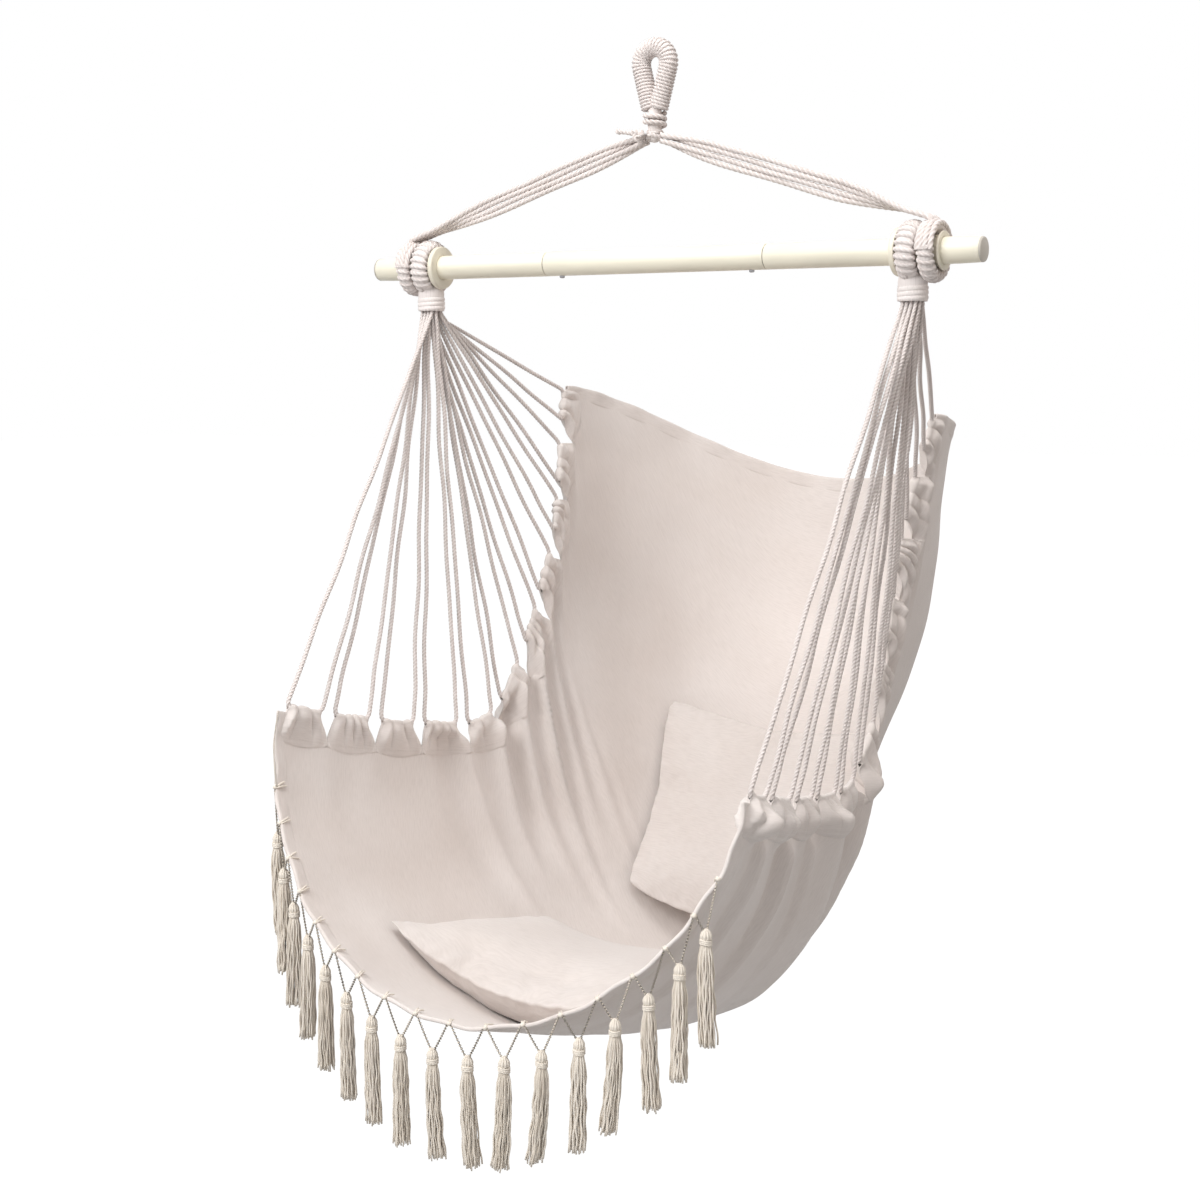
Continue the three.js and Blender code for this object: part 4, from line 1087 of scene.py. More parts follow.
def ringWhipping(centre, halfWidth, halfHeight, start, end, turns, radius):
    # Yarn wound round the ring: it goes round the section while it travels round the bar
    share = spread(0, 1, int(turns * 26) + 1)
    psi, wind = start + (end - start) * share, tau * turns * share
    outX, outR = np.sin(wind), np.cos(wind)
    x = centre + (halfWidth - radius) * outX
    reach = ring["radius"] + (halfHeight - radius) * outR
    path = np.stack([x, reach * np.sin(psi), -reach * np.cos(psi) - barDrop], axis=1)
    facing = np.stack([outX, outR * np.sin(psi), -outR * np.cos(psi)], axis=1)
    return laidRope(path, radius, facing, ring["yarnLay"], groove=0.84)


seatLoop = {
    "turns": 20,
    "yarn": 0.0037,
    "foot": 30,  # degrees left open over the neck, on each side
    "neck": 0.021,
    "neckTop": -0.0445,
    "neckBottom": -0.066,
    "neckTurns": 3.2,
    "bore": 0.0179,
    "wall": 0.0008,
    "ridgeCut": 0.0006,  # what a ridge lacks of the space between bore and neck
    "shoulder": ((0.015, 0.016), (0.019, 0.011), (0.0202, 0.005)),  # radius, height over its top
    "ceiling": (0.009, 0.004),  # radius of the hole in it, depth below the top
}


def neckPart(centre):
    # The wrapped neck: a cup whose wall is ridged by the turns that bind the cords, each ridge
    # the size of a sine, raised to a power to make it blunt, and rounded off at both ends
    rows, columns = spread(0, 1, 40), 96
    top, bottom, bore = seatLoop["neckTop"], seatLoop["neckBottom"], seatLoop["bore"]
    z = mixed(top, bottom, rows)
    angle = np.arange(columns) * tau / columns
    wrap = np.abs(np.sin(math.pi * (rows[:, None] * seatLoop["neckTurns"] + angle[None] / tau))) ** 0.6
    ends = np.sqrt(np.clip(1 - (2 * np.abs(rows - 0.5)) ** 8, 0.3, 1))[:, None]
    ridge = (seatLoop["neck"] - bore - seatLoop["ridgeCut"]) * (0.45 + 0.55 * wrap)
    radius = bore + seatLoop["wall"] + ridge * ends
    wall = np.stack([radius * np.cos(angle), radius * np.sin(angle), z[:, None] + 0 * radius], axis=-1)

    def rim(size, height):
        return np.stack([size * np.cos(angle), size * np.sin(angle), np.full(columns, height)], axis=-1)[None]

    shoulder = [rim(size, top + height) for size, height in seatLoop["shoulder"]]
    hole, under = seatLoop["ceiling"]
    inside = [rim(bore, bottom), rim(bore, top - under), rim(hole, top - under)]
    points = np.concatenate(shoulder + [wall] + inside) + np.array([centre, 0, -barDrop])
    across, along = np.meshgrid(spread(0, 20, columns + 1), spread(0, 0.05, len(points)))
    return gridPart(points[::-1], np.stack([across, along], axis=-1), wrap=True, caps=True)


def makeSeatLoops():
    half, high, yarn = ring["seatHalf"], ring["halfHeight"], seatLoop["yarn"]
    foot = math.radians(seatLoop["foot"])
    for side, sign in bothSides:
        centre = sign * ring["seatPlace"]
        core = ringPart(centre, half - 0.9 * yarn, high - 0.9 * yarn)
        whipping = ringWhipping(centre, half, high, foot, tau - foot, seatLoop["turns"], yarn)
        parts = [core, whipping, neckPart(centre)]
        nodes = [f"seat_loop_{side.lower()}", f"seat_whipping_{side.lower()}"]
        makePiece(f"seatLoop{side}", parts, wrapYarn, "seat", nodes)


bridle = {
    "pivot": 0.1765,  # height over the bar where the strands meet
    "diameter": 0.008,
    "pitch": 0.0084,
    "lay": 0.027,
    "bunched": 0.05,  # shares of the way down: a bunch, one above another, side by side
    "stacked": 0.19,
    "unstacked": 0.74,
    "flat": 0.93,
    "wobble": 0.001,
    "wobbleLength": 0.16,
    "turns": 12,  # of the yarn round the loop
    "yarn": 0.0034,
    "coreInset": 0.0026,
    "reach": 96,  # degrees from the foot of the loop that the yarn covers, on each side
    "overPitch": 0.0062,
    "overRadius": 0.0041,
    "overLift": (0.0008, 0.0028, 0.0028, 0.0008),
    "overOrbit": 0.0036,
    "corner": 0.05,
    "step": 0.0022,
}


def bridleStrand(i, sign):
    # One of the four strands, from the knot to the loop and down beside the bar
    half = bridle["pitch"] / 2
    top = bush["barrel"] + bar["gap"] + 2 * ring["halfHeight"]
    start = np.array([0, 0, bridle["pivot"]])
    end = np.array([ring["bridlePlace"] - ring["bridleHalf"], 0, top + bridle["diameter"] / 2 + bar["gap"]])
    bunched = np.array([0, half if i % 2 else -half, half if i < 2 else -half])
    stacked = np.array([0, 0, (3 - 2 * i) * half])
    flat = np.array([0, (2 * i - 3) * half, 0])
    places = [(0.03, bunched), (bridle["bunched"], bunched), (bridle["stacked"], stacked)]
    places += [(bridle["unstacked"], stacked), (bridle["flat"], flat), (1, flat)]
    points = [start + (end - start) * share + offset for share, offset in places]
    points += [np.array([ring["bridlePlace"], flat[1], height]) for height in (top, ring["radius"])]
    points = np.array(points) * [sign, 1, 1] + [0, 0, -barDrop]
    path = rounded(points, bridle["corner"], bridle["step"])
    reach = arcLength(path)
    beat = reach / bridle["wobbleLength"] + 0.27 * i
    free = rise(reach, 0.05, 0.12) * (1 - rise(reach, 0.3, 0.38))
    sway = np.stack([0 * beat, np.sin(tau * beat), 0.5 * np.cos(tau * beat)], axis=1)
    path = path + sway * (bridle["wobble"] * free)[:, None]
    radius, lay = bridle["diameter"] / 2, bridle["lay"]
    return laidRope(path, radius, (0, 1, 0.2), lay, perStrand=6, hand=sign, groove=0.88)


def overStrand(i, sign, centre, reach):
    # The same strand where it shows between the ends of the yarn, laid over the top of the loop
    over = spread(reach - 0.12, tau - reach + 0.12, 90)
    x = centre + (i - 1.5) * bridle["overPitch"] + 0 * over
    orbit = ring["radius"] + bridle["overLift"][i] + bridle["overOrbit"]
    path = np.stack([x, orbit * np.sin(over), -orbit * np.cos(over) - barDrop], axis=1)
    facing = np.stack([0 * over, np.sin(over), -np.cos(over)], axis=1)
    return laidRope(path, bridle["overRadius"], facing, bridle["lay"], perStrand=6, hand=sign)


def makeBridle():
    wide, high, inset = ring["bridleHalf"], ring["halfHeight"], bridle["coreInset"]
    reach = math.radians(bridle["reach"])
    for side, sign in bothSides:
        centre = sign * ring["bridlePlace"]
        parts = [bridleStrand(i, sign) for i in range(4)]
        parts.append(ringPart(centre, wide - inset, high - inset))
        parts.append(ringWhipping(centre, wide, high, -reach, reach, bridle["turns"], bridle["yarn"]))
        parts += [overStrand(i, sign, centre, reach) for i in range(4)]
        nodes = [f"bridle_{side.lower()}", f"bridle_whipping_{side.lower()}"]
        makePiece(f"bridle{side}", parts, cordRope, "bridle", nodes)


# The eye: two rope legs and a bend, whipped all round, bound at the neck and stopped by a knot
eye = {
    "bend": 0.0225,
    "centre": -0.008,
    "footX": 0.0065,
    "footZ": -0.072,
    "outer": 0.0144,
    "yarn": 0.0024,
    "pitch": 0.0047,
    "lay": 0.012,
    "stem": 0.010,
    "stemTop": -0.060,
    "stemEase": 0.002,
    "stemFoot": -0.0985,
    "pivot": -0.1095,
}


def eyePath(count):
    # An arc round the hook that runs out into two straight legs
    footX, footZ = eye["footX"], eye["footZ"]
    away = np.array([footX, footZ - eye["centre"]])
    start = math.atan2(away[1], away[0]) + math.acos(eye["bend"] / np.hypot(*away))
    turn = spread(start, math.pi - start, 60)
    x, z = eye["bend"] * np.cos(turn), eye["centre"] + eye["bend"] * np.sin(turn)
    bend = np.stack([x, 0 * turn, z], axis=1)
    return even(np.concatenate([[(footX, 0, footZ)], bend, [(-footX, 0, footZ)]]), count=count)


def makeEye():
    # The core under the whipping is a little darker: painted shade where it shows between the turns
    parts = [plainTube(eyePath(160), eye["outer"] - 0.95 * eye["yarn"], (0, 1, 0), 24, 0.9)]
    fine = eyePath(2400)
    tangent = unit(np.gradient(fine, axis=0))
    across = np.cross(tangent, (0, 1, 0))
    wind = tau * arcLength(fine) / eye["pitch"]
    outward = np.cos(wind)[:, None] * across + np.sin(wind)[:, None] * np.array([0, 1, 0])
    path = fine + outward * (eye["outer"] - eye["yarn"])
    path, facing = path[::2], outward[::2]
    parts.append(laidRope(path, eye["yarn"], facing, eye["lay"], strands=2, perStrand=4, groove=0.9))
    # The stem below it ends in the ball that the bridle rocks on
    stem, turn = eye["stem"], spread(math.radians(60), math.pi, 12)
    top = eye["stemTop"]
    profile = [(top, onAxis), (top - eye["stemEase"], stem), (eye["stemFoot"], stem)]
    profile += [(eye["pivot"] + stem * math.cos(t), max(stem * math.sin(t), onAxis)) for t in turn]
    parts.append(turnedPart(profile, "z", 32, closed=False))
    makePiece("ropeEye", parts, wrapYarn, "eye", ["eye_rope", "eye_whipping"])


neck = {
    "rope": 0.0076,
    "pitch": 0.0084,
    "top": -0.0775,
    "turns": 2.2,
    "start": 0.6,
    "lay": 0.022,
    "gap": 0.0003,
}


def makeNeckWrap():
    # A helix about the stem
    orbit = eye["stem"] + neck["rope"] / 2 + neck["gap"]
    share = spread(0, 1, 150)
    turn = tau * neck["turns"] * share + neck["start"]
    z = neck["top"] - neck["pitch"] * neck["turns"] * share
    out = np.stack([np.cos(turn), np.sin(turn), 0 * turn], axis=1)
    path = out * orbit + np.stack([0 * z, 0 * z, z], axis=1)
    wrap = laidRope(path, neck["rope"] / 2, out, neck["lay"], perStrand=6)
    makePiece("neckWrap", [wrap], cordRope, "neck", ["neck_wrap"])


knot = {
    "place": (-0.0165, -0.0195, -0.1095),
    "loop": 0.0023,
    "rope": 0.0042,
    "lay": 0.02,
    "tail": ((0, 0, 0), (-0.011, 0, 0.004), (-0.024, 0, 0.0065), (-0.035, 0.001, 0.0075)),
    "flare": 0.18,
    "frayed": (0.025, 0.036),  # distances along the tail between which it flares
    "band": 0.0095,
    "bandLeans": ((0.5, 0.2, 1), (-0.55, 0.1, 1)),
}


def makeKnot():
    # A trefoil: x is sin t + 2 sin 2t, z is cos t - 2 cos 2t and y is -sin 3t, with a tail
    t = spread(0, tau, 181)[:-1]
    trefoil = np.stack([np.sin(t) + 2 * np.sin(2 * t), -np.sin(3 * t), np.cos(t) - 2 * np.cos(2 * t)], axis=1)
    loop = trefoil * knot["loop"]
    closed = np.concatenate([loop, loop[:2]])
    tail = rounded(knot["tail"], 0.01, 0.001)
    flare = knot["rope"] * (1 + knot["flare"] * rise(arcLength(tail), *knot["frayed"]))
    parts = []
    for path, radius in ((closed, knot["rope"]), (tail, flare)):
        part = laidRope(path, radius, (0, 1, 0), knot["lay"], perStrand=6, groove=0.75)
        part["points"] = part["points"] + np.array(knot["place"])
        parts.append(part)
    # Two crossing bands hide the ball
    circle = np.arange(73) * tau / 72
    for lean in knot["bandLeans"]:
        first = unit(np.cross(lean, (0, 1, 0)))
        second = unit(np.cross(lean, first))
        band = (np.cos(circle)[:, None] * first + np.sin(circle)[:, None] * second) * knot["band"]
        path = band + [0, 0, eye["pivot"]]
        parts.append(laidRope(path, knot["rope"], unit(band), knot["lay"], perStrand=6))
    makePiece("stopperKnot", parts, cordRope, "knot", ["stopper_knot"])


# Cushions: flat sewn squares blown up as cloth, then laid into the hollow of the seat
cushionSim = {
    "steps": 56,
    "frames": 34,
    "quality": 7,
    "pressure": 9.0,
    "mass": 0.25,
    "tension": 12,
    "bending": 0.4,
    "damping": 3,
    "height": 0.016,  # of the middle before it is blown up
    "grain": 0.0012,
    "sewn": 1.04,  # how much larger it is sewn than the place it fills
}
cushions = [
    {
        "name": "seatCushion",
        "node": "seat_cushion",
        "body": "seat_pad",
        "from": 0.1,  # its front and back in s, and half its width in u
        "to": 0.345,
        "half": 0.41,
        "bend": 0.75,  # how much of the cloth's hollow it follows
        "lift": 0.016,
        "thick": 0.118,
        "square": 0.45,  # how much of the sewn square its outline keeps
        "blunt": 0.04,
        "seam": 0.022,
        "seed": 3,
    },
    {
        "name": "backCushion",
        "node": "back_cushion",
        "body": "back_pad",
        "from": 0.475,
        "to": 0.705,
        "half": 0.42,
        "bend": 0.35,
        "lift": 0.0132,
        "thick": 0.105,
        "square": 0.8,
        "blunt": 0.07,
        "seam": 0.015,
        "seed": 8,
    },
]
cushionClearance = 0.004
cushionTuck = 0.0021


def pillowFaces(size):
    # Two square grids of points that share their rim: the map of each, and the faces of both
    index = np.arange(size * size).reshape(size, size)
    rim = rimOf(size)
    lower = np.where(rim, index, 0)
    lower[~rim] = size * size + np.arange((~rim).sum())
    top = np.stack([index[:-1, :-1], index[:-1, 1:], index[1:, 1:], index[1:, :-1]], axis=-1).reshape(-1, 4)
    under = np.stack([lower[:-1, :-1], lower[1:, :-1], lower[1:, 1:], lower[:-1, 1:]], axis=-1)
    under = under.reshape(-1, 4)
    return index, lower, np.concatenate([top, under])


def rimOf(size):
    rim = np.zeros((size, size), bool)
    rim[[0, -1]] = rim[:, [0, -1]] = True
    return rim


def blownPillow(width, depth, seed):
    # The pillow's points after the simulation, as two grids (top, bottom) of local x, y, z.
    size = cushionSim["steps"] + 1
    index, lower, faces = pillowFaces(size)
    x, y = np.meshgrid(spread(-1, 1, size), spread(-1, 1, size))
    crown = ((1 - x * x) * (1 - y * y)) ** 0.5
    grain = cushionSim["grain"] * np.random.default_rng(seed).standard_normal((size, size)) * (crown > 0)
    points = np.zeros((int(faces.max()) + 1, 3))
    for places, height in ((index, cushionSim["height"]), (lower, -cushionSim["height"])):
        points[places] = np.stack([x * width / 2, y * depth / 2, height * crown + grain], axis=-1)
    mesh = bpy.data.meshes.new("pillowSim")
    mesh.from_pydata(points.tolist(), [], faces.tolist())
    obj = linked("pillowSim", mesh)
    cloth = obj.modifiers.new("Cloth", "CLOTH")
    settings = cloth.settings
    settings.quality = cushionSim["quality"]
    settings.mass = cushionSim["mass"]
    settings.tension_stiffness = settings.compression_stiffness = cushionSim["tension"]
    settings.shear_stiffness = cushionSim["tension"] / 2
    settings.bending_stiffness = cushionSim["bending"]
    settings.air_damping = cushionSim["damping"]
    settings.use_pressure = True
    settings.uniform_pressure_force = cushionSim["pressure"]
    settings.effector_weights.gravity = 0
    cloth.point_cache.frame_start, cloth.point_cache.frame_end = 1, cushionSim["frames"]
    scene = bpy.context.scene
    for step in range(1, cushionSim["frames"] + 1):
        scene.frame_set(step)
    evaluated = obj.evaluated_get(bpy.context.evaluated_depsgraph_get())
    blown = np.empty(len(points) * 3)
    evaluated.data.vertices.foreach_get("co", blown)
    scene.frame_set(1)
    bpy.data.objects.remove(obj)
    blown = blown.reshape(-1, 3)
    print("pillow blown to", (blown.max(0) - blown.min(0)).round(3))
    return blown[index], blown[lower]


def makeCushion(cushion):
    # Each layer lies on a surface between the flat patch of its corners and the hollow of the cloth,
    # lifted by the blown height, and the underside stops short of the cloth
    half, start, end = cushion["half"], cushion["from"], cushion["to"]

    def clothAt(p, q):
        return clothPoint(start + (end - start) * (q + 1) / 2, half * p)

    signs = np.array([(-1, -1), (1, -1), (-1, 1), (1, 1)], float)
    corners = clothAt(signs[:, 0], signs[:, 1])
    right = corners[1] + corners[3] - corners[0] - corners[2]
    back = corners[2] + corners[3] - corners[0] - corners[1]
    width, depth = np.linalg.norm(right) / 2, np.linalg.norm(back) / 2
    normal = unit(np.cross(right, back))
    top, bottom = blownPillow(width * cushionSim["sewn"], depth * cushionSim["sewn"], cushion["seed"])
    size = top.shape[0]
    extent = np.abs(top[..., :2]).max(axis=(0, 1))
    height = top[..., 2] - bottom[..., 2]
    squeeze = min(1.0, cushion["thick"] / height.max())
    print(cushion["name"], "thickness", height.max().round(4), "scaled by", round(squeeze, 3))
    height = height * squeeze
    low = -bottom[..., 2] * squeeze
    # The outline: part blown, part square, with blunt corners, a seam and small tucks
    gridP, gridQ = np.meshgrid(spread(-1, 1, size), spread(-1, 1, size))
    keep = cushion["square"]
    rim = np.maximum(np.abs(gridP), np.abs(gridQ))
    around = np.where(np.abs(gridP) > np.abs(gridQ), gridQ, gridP)
    blunt = 1 - cushion["blunt"] * np.abs(gridP * gridQ) ** 5 + cushion["seam"] * rise(rim, 0.965, 1)
    gathers = np.sin(41 * around + 3 * np.sin(5 * around)) + 0.5 * np.sin(67 * around)
    tuck = cushionTuck * rise(rim, 0.86, 1) * gathers
    layers = []
    for layer, isTop in ((top, True), (bottom, False)):
        p = (layer[..., 0] / extent[0] * (1 - keep) + gridP * keep) * blunt
        q = (layer[..., 1] / extent[1] * (1 - keep) + gridQ * keep) * blunt
        cloth = clothAt(p, q)
        weights = [(1 - p) * (1 - q), (1 + p) * (1 - q), (1 - p) * (1 + q), (1 + p) * (1 + q)]
        flat = sum(weight[..., None] * corner for weight, corner in zip(weights, corners)) / 4
        middle = mixed(flat, cloth, cushion["bend"]) + normal * cushion["lift"]
        room = ((middle - cloth) * normal).sum(-1) - cushionClearance
        under = np.minimum(low, np.maximum(room, 0))
        lift = height - under if isTop else -under
        layers.append(middle + normal * (lift + np.maximum(tuck, 0.3 * tuck))[..., None])
    seamLine = (layers[0] + layers[1]) / 2
    layers = [np.where(rimOf(size)[..., None], seamLine, layer) for layer in layers]
    index, lower, faces = pillowFaces(size)
    count = int(faces.max()) + 1
    points, flatPlace = np.zeros((count, 3)), np.zeros((count, 2))
    points[lower], flatPlace[lower] = layers[1], bottom[..., :2]
    points[index], flatPlace[index] = layers[0], top[..., :2]
    part = {
        "points": points,
        "quads": faces,
        "quadUv": flatPlace[faces],
        "tris": np.empty((0, 3), int),
        "triUv": np.empty((0, 3, 2)),
        "toneAndShade": np.ones(count),
    }
    name, body, nodes = cushion["name"], cushion["body"], [cushion["node"]]
    obj = makePiece(name, [part], cushionCloth, body, nodes, subdivide=1)


# Tassels: each hangs on two legs of thread from knots along the front hem
tassel = {
    "count": 17,
    "pitch": 0.053,
    "inset": 0.112,  # from the hem's left corner to the first knot
    # Places in u: distances along the hem are counted along the chords between them
    "columns": (1, 0.93, 0.8, 0.6, 0.42, 0.2, 0, -0.2, -0.42, -0.6, -0.8, -0.93, -1),
    "tieInset": 0.0021,
    "out": 0.003,
    "drop": 0.041,
    "thread": 0.0021,
    "threadLay": 0.008,
    "threadSag": 0.0012,
    "threadFoot": 0.004,
    "threadBend": (0.03, 0.004),  # size of the round at its sag, and the step along it
    "knot": 0.0033,
    "stub": 0.0012,
    "stubs": (0.018, 0.015),
    "stubShift": 0.0013,
    "stubLift": 0.003,
    "stubBend": (0.003, 0.001),
    "stubBends": ((0.002, 0.0046), (0.007, 0.0048)),  # how far in from the edge, and inside
    "length": 0.141,
    "head": 0.0075,
    "headHeight": 0.0115,
    "headTop": 0.001,
    "crest": 0.002,
    "neck": 0.0066,
    "neckTurns": 3.3,
    "neckTop": 0.0012,
    "neckTilt": 0.0009,
    "neckGap": 0.0003,
    "neckHeight": 0.0072,
    "neckThread": 0.00128,
    "core": ((0.009, 0.0064), (0.022, 0.0066), (0.05, 0.0064)),  # depth and radius
    "skirtGap": 0.004,
    "strands": 44,
    "strand": 0.00126,
    "strandSteps": 17,
    "uneven": (0.965, 0.05),  # the shortest strand's share of the length, and what chance adds
    "flare": (0.0055, 0.0034, 0.0022),  # radius at the neck, swell just under it, swell to the tips
    "wavy": 0.0008,
    "waves": (3.4, 2.9),
    "lean": 0.003,  # how far the tips hang towards the knees
    "leanSpread": (0.0035, 0.0011),  # of a whole skirt and of one strand
    "goldenTurn": 2.399963,  # radians between neighbours, which spreads them evenly over the skirt
}


edgeLine = {
    "radius": 0.0012,
    "start": 0.03,  # share of the way from the corner to the first knot
    "gap": 0.0032,
    "sag": 0.003,
    "inside": 0.0035,
    "lay": 0.006,
}


def hemTies():
    # Places along the front hem by arc length, and the way out of the cloth there
    u = spread(-1, 1, 1601)
    hem = clothPoint(0.0, u)
    outward = unit(hem - clothPoint(0.01, u))
    reach = arcLength(hem)
    coarse = arcLength(clothPoint(0.0, -np.array(tassel["columns"])))[-1]
    stretch = reach[-1] / coarse

    def at(distance):
        goal = distance * stretch
        place = np.array([np.interp(goal, reach, hem[:, axis]) for axis in range(3)])
        out = np.array([np.interp(goal, reach, outward[:, axis]) for axis in range(3)])
        return place, unit(out), clothNormal(np.array(0.0), np.interp(goal, reach, u))

    return at


def ballPart(centre, radius, rows=9, columns=12, squash=1.0):
    # A sphere by its polar angle and its turn, flattened along Z
    turn = spread(0.12, math.pi - 0.12, rows)[:, None]
    angle = np.arange(columns)[None] * tau / columns
    z = -np.cos(turn) * squash + 0 * angle
    ball = np.stack([np.sin(turn) * np.cos(angle), np.sin(turn) * np.sin(angle), z], axis=-1)
    return gridPart(centre + ball * radius, wrap=True, caps=True)


def knotParts(i, place, out, inside):
    # A knot at the edge of the hem, and the two ends of its thread on the inside
    centre = place + out * tassel["out"]
    side = np.cross(out, inside)
    parts = [ballPart(centre, tassel["knot"], squash=0.85)]
    turns = (0.25 + 0.2 * math.sin(2.3 * i), 0.5)
    apart = tassel["stubShift"]
    (near, nearLift), (far, farLift) = tassel["stubBends"]
    for shift, turn, reach in zip((-apart, apart), turns, tassel["stubs"]):
        along = -out + side * turn
        start, bend = centre - out * near + inside * nearLift, centre + along * far + inside * farLift
        lift = nearLift + tassel["stubLift"] * math.sin(3.1 * i) ** 2
        end = centre + along * reach + inside * lift
        path = rounded(np.array([centre, start, bend, end]) + side * shift, *tassel["stubBend"])
        parts.append(plainTube(path, tassel["stub"], side, 6, 0.95))
    return parts


def edgeThread(tieAt):
    # From the left front corner a thread runs down the edge to the first knot, sagging by a sine
    share = spread(edgeLine["start"], 1, 40)
    line = [tieAt(tassel["inset"] * value) for value in share]
    away = edgeLine["gap"] + edgeLine["sag"] * np.sin(math.pi * share)
    lift = edgeLine["inside"]
    path = np.array([place + out * gap + inside * lift for (place, out, inside), gap in zip(line, away)])
    return laidRope(path, edgeLine["radius"], (0, 1, 0), edgeLine["lay"], strands=2, perStrand=3)


def makeTassels():
    tieAt = hemTies()
    inset, pitch = tassel["inset"], tassel["pitch"]
    knots = []
    for i in range(tassel["count"] + 1):
        knots += knotParts(i, *tieAt(inset + i * pitch))
    knots.append(edgeThread(tieAt))
    makePiece("tasselKnots", knots, tasselYarn, "seat")
    for i in range(tassel["count"]):
        left, leftOut, _ = tieAt(inset + i * pitch + tassel["tieInset"])
        right, rightOut, _ = tieAt(inset + (i + 1) * pitch - tassel["tieInset"])
        left, right = left + leftOut * tassel["out"], right + rightOut * tassel["out"]
        apex = (left + right) / 2 - [0, 0, tassel["drop"]]
        parts = tasselThreads(left, right, apex) + tasselHead(apex, i) + tasselSkirt(apex, i)
        number = f"{i + 1:02d}"
        body, nodes = f"tassel_body_{number}", [f"tassel_{number}"]
        makePiece(f"tassel{number}", parts, tasselYarn, body, nodes)


def tasselThreads(left, right, apex):
    # Two laid threads from the ties to the head, each a parabola that sags a little
    down = apex - [0, 0, tassel["threadFoot"]]
    facing = unit(np.cross(right - left, [0, 0, 1]))
    radius, lay = tassel["thread"], tassel["threadLay"]
    parts = []
    for end in (left, right):
        sag = (end + down) / 2 - [0, 0, tassel["threadSag"]]
        path = rounded([end, sag, down], *tassel["threadBend"])
        parts.append(laidRope(path, radius, facing, lay, strands=2, perStrand=5, groove=0.93))
    return parts


def tasselHead(apex, seed):
    # Strands folded over the threads: a dome ribbed by the size of a sine, from the top to the neck
    head, neckRadius = tassel["head"], tassel["neck"]
    level = spread(0, 1, 12)[:, None]
    angle = np.arange(72)[None] * tau / 72
    swell = np.sin(np.clip(0.12 + level, 0, 1) * math.pi / 2) ** 0.7
    radius = head * swell + (neckRadius - head) * rise(level, 0.6, 1)
    rib = np.abs(np.sin(5.5 * angle + 0.5 * seed + 0.4 * np.sin(angle + seed) + 0.3 * level)) ** 0.6
    radius = radius * (0.8 + 0.26 * rib + 0.05 * np.sin(angle + 2.1 * seed))
    z = -level * tassel["headHeight"] + tassel["crest"] * (1 - level) * rib + tassel["headTop"]
    dome = np.stack([radius * np.cos(angle), radius * np.sin(angle), z], axis=-1)
    # Painted shade: the strands are darker in the furrows between the ribs
    toneAndShade = 0.78 + 0.22 * rib + 0 * level
    parts = [gridPart(apex + dome[::-1], None, toneAndShade[::-1], wrap=True, caps=True)]
    # Turns of thread about the neck, not quite level
    turn, share = spread(0, tassel["neckTurns"] * tau, 70), spread(0, 1, 70)
    z = -tassel["headHeight"] + tassel["neckTop"] - tassel["neckHeight"] * share
    z = z + tassel["neckTilt"] * np.sin(turn + seed)
    out = np.stack([np.cos(turn), np.sin(turn), 0 * turn], axis=1)
    path = apex + out * (neckRadius + tassel["neckGap"]) + np.stack([0 * turn, 0 * turn, z], axis=1)
    parts.append(plainTube(path, tassel["neckThread"], out, 6, 0.97))
    depths, radii = zip(*tassel["core"])
    core = np.array([apex - [0, 0, depth] for depth in depths])
    # The core inside the skirt is darker: painted shade
    parts.append(plainTube(core, np.array(radii), (1, 0, 0), 12, 0.75))
    return parts


def tasselSkirt(apex, seed):
    # Thick strands from the neck: each stands at the square root of its order, turned on by a
    # golden turn, waves by a sine in x and in y, and leans with the square of the way down
    draw = np.random.default_rng(40 + seed)
    count = tassel["strands"]
    order = np.arange(count)
    place = np.sqrt((order + 0.5) / count)
    swirl = order * tassel["goldenTurn"] + seed
    t = spread(0, 1, tassel["strandSteps"])[None]
    start = tassel["headHeight"] + tassel["skirtGap"]
    shortest, chance = tassel["uneven"]
    length = (tassel["length"] - start) * (shortest + chance * draw.random((count, 1)))
    whole, each = tassel["leanSpread"]
    lean = draw.normal(0, whole, (1, 2)) + draw.normal(0, each, (count, 2)) - [0, tassel["lean"]]
    atNeck, under, toTips = tassel["flare"]
    flare = atNeck + under * rise(t, 0, 0.16) + toTips * t
    phase = draw.random((count, 2)) * tau
    wavy = tassel["wavy"] * rise(t, 0.04, 0.3)
    x = place[:, None] * flare * np.cos(swirl)[:, None] + lean[:, :1] * t**2
    y = place[:, None] * flare * np.sin(swirl)[:, None] + lean[:, 1:] * t**2
    wavesX, wavesY = tassel["waves"]
    x = x + wavy * np.sin(tau * wavesX * t + phase[:, :1])
    y = y + wavy * np.sin(tau * wavesY * t + phase[:, 1:])
    paths = apex + np.stack([x, y, -start - length * t], axis=-1)
    radii = tassel["strand"] * (1 - 0.1 * t) * (0.85 + 0.3 * draw.random((count, 1)))
    # Each strand's tone differs at random, and the inner strands stay darker: painted shade inside the skirt
    tonesAndShades = 0.74 + 0.3 * draw.random(count) * (0.4 + 0.6 * place)
    return manyTubes(paths, radii, 5, tonesAndShades)


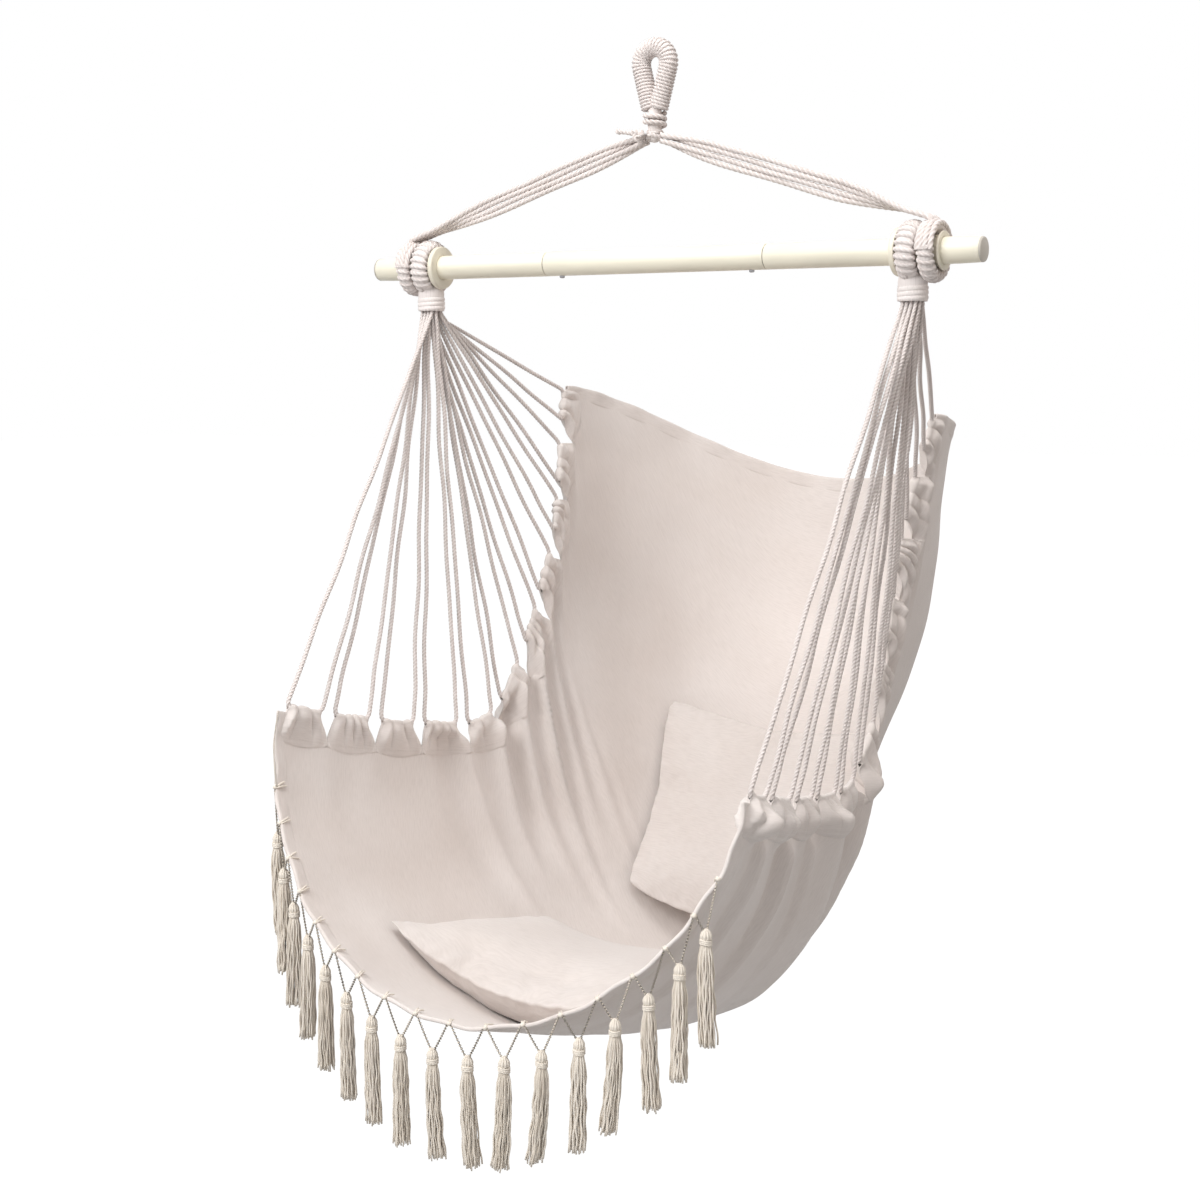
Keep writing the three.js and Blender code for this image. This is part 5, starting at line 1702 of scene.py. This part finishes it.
# Light, floor and backdrop
studio = {
    "floor": -1.86,
    "floorHalf": 30,
    "floorColour": (0.5, 0.5, 0.5, 1),
    "floorGlow": 1.13,  # with the floor's own light, white where no shadow falls
    "floorShare": 0.9,  # of that glow in what the camera sees
    "ambient": 0.5,
    "underside": 0.35,  # share of the ambient light that comes from below
    "skyFrom": (-0.4, 0.5),  # heights of the view's direction between which it changes
    "lamps": [
        {"name": "keyLamp", "place": (-0.9, -3.6, 1.7), "aim": (0, 0, -0.9), "size": 2.4, "power": 138},
        {
            "name": "sideLamp",
            "place": (3.3, 0.9, 0.3),
            "aim": (0.3, 0, -0.9),
            "size": 1.2,
            "power": 9,
            "tint": (1, 0.72, 0.52),
        },
        {"name": "topLamp", "place": (0.8, -1.0, 2.4), "aim": (0, 0.1, -0.9), "size": 2.2, "power": 52},
        {"name": "backLamp", "place": (0.6, 3.4, 1.2), "aim": (0, 0, -0.8), "size": 2.6, "power": 15},
    ],
}


def seenDirectly(nodes, links):
    # 1 for rays from the camera, and for those that mirrors and glass send on
    path = nodes.new("ShaderNodeLightPath")
    either = math2(nodes, links, "MAXIMUM", path.outputs["Is Camera Ray"], path.outputs["Is Glossy Ray"])
    return math2(nodes, links, "MAXIMUM", either, path.outputs["Is Transmission Ray"])


def makeWorld():
    scene = bpy.context.scene
    world = scene.world or bpy.data.worlds.new("studio")
    scene.world = world
    world.use_nodes = True
    nodes, links = world.node_tree.nodes, world.node_tree.links
    background = nodes["Background"]
    background.inputs["Color"].default_value = (1, 1, 1, 1)
    up = nodes.new("ShaderNodeSeparateXYZ")
    links.new(nodes.new("ShaderNodeTexCoord").outputs["Generated"], up.inputs["Vector"])
    sky = nodes.new("ShaderNodeMapRange")
    low, high = studio["skyFrom"]
    sky.inputs["From Min"].default_value = low
    sky.inputs["From Max"].default_value = high
    sky.inputs["To Min"].default_value = studio["ambient"] * studio["underside"]
    sky.inputs["To Max"].default_value = studio["ambient"]
    links.new(up.outputs["Z"], sky.inputs["Value"])
    level = nodes.new("ShaderNodeMapRange")
    links.new(sky.outputs["Result"], level.inputs["To Min"])
    links.new(seenDirectly(nodes, links), level.inputs["Value"])
    links.new(level.outputs["Result"], background.inputs["Strength"])
    scene.view_settings.view_transform = "Standard"


def makeLamps():
    for lamp in studio["lamps"]:
        data = bpy.data.lights.new(lamp["name"], "AREA")
        data.shape, data.size, data.energy = "DISK", lamp["size"], lamp["power"]
        data.color = lamp.get("tint", (1, 1, 1))
        obj = linked(lamp["name"], data)
        obj.location = lamp["place"]
        aim = Vector(lamp["aim"]) - Vector(lamp["place"])
        obj.rotation_euler = aim.to_track_quat("-Z", "Y").to_euler()


def makeFloor():
    material = bpy.data.materials.new("paleFloor")
    material.use_nodes = True
    nodes, links = material.node_tree.nodes, material.node_tree.links
    nodes.clear()
    diffuse = nodes.new("ShaderNodeBsdfDiffuse")
    diffuse.inputs["Color"].default_value = studio["floorColour"]
    glow = nodes.new("ShaderNodeEmission")
    glow.inputs["Strength"].default_value = studio["floorGlow"]
    mix = nodes.new("ShaderNodeMixShader")
    share = math2(nodes, links, "MULTIPLY", seenDirectly(nodes, links), studio["floorShare"])
    links.new(share, mix.inputs["Fac"])
    links.new(diffuse.outputs["BSDF"], mix.inputs[1])
    links.new(glow.outputs["Emission"], mix.inputs[2])
    links.new(mix.outputs["Shader"], nodes.new("ShaderNodeOutputMaterial").inputs["Surface"])
    mesh = bpy.data.meshes.new("floor")
    size, level = studio["floorHalf"], studio["floor"]
    corners = [(-size, -size, level), (size, -size, level), (size, size, level), (-size, size, level)]
    mesh.from_pydata(corners, [], [(0, 1, 2, 3)])
    obj = linked("floor", mesh)
    mesh.materials.append(material)


makeCamera()
makeWorld()
makeLamps()
makeFloor()
seatCloth = makeSeatCloth()
hems = [makeSideHem(f"sideHem{side}", sign) for side, sign in bothSides]
hems += [makeEndHem("frontHem", False), makeEndHem("backHem", True)]
print("cloth and hems made")
makeHarness()
print("harness cords laid")
makeMiddleTube()
for side, sign in bothSides:
    makeOuterTube(side, sign)
    makeCap(side, sign)
    makeButton(side, sign)
    makeBush(side, sign)
makeSeatLoops()
makeBridle()
makeEye()
makeNeckWrap()
makeKnot()
print("bar, loops, bridle and eye made")
for cushion in cushions:
    makeCushion(cushion)
print("cushions made")
makeTassels()
print("tassels made")
makeSprings()
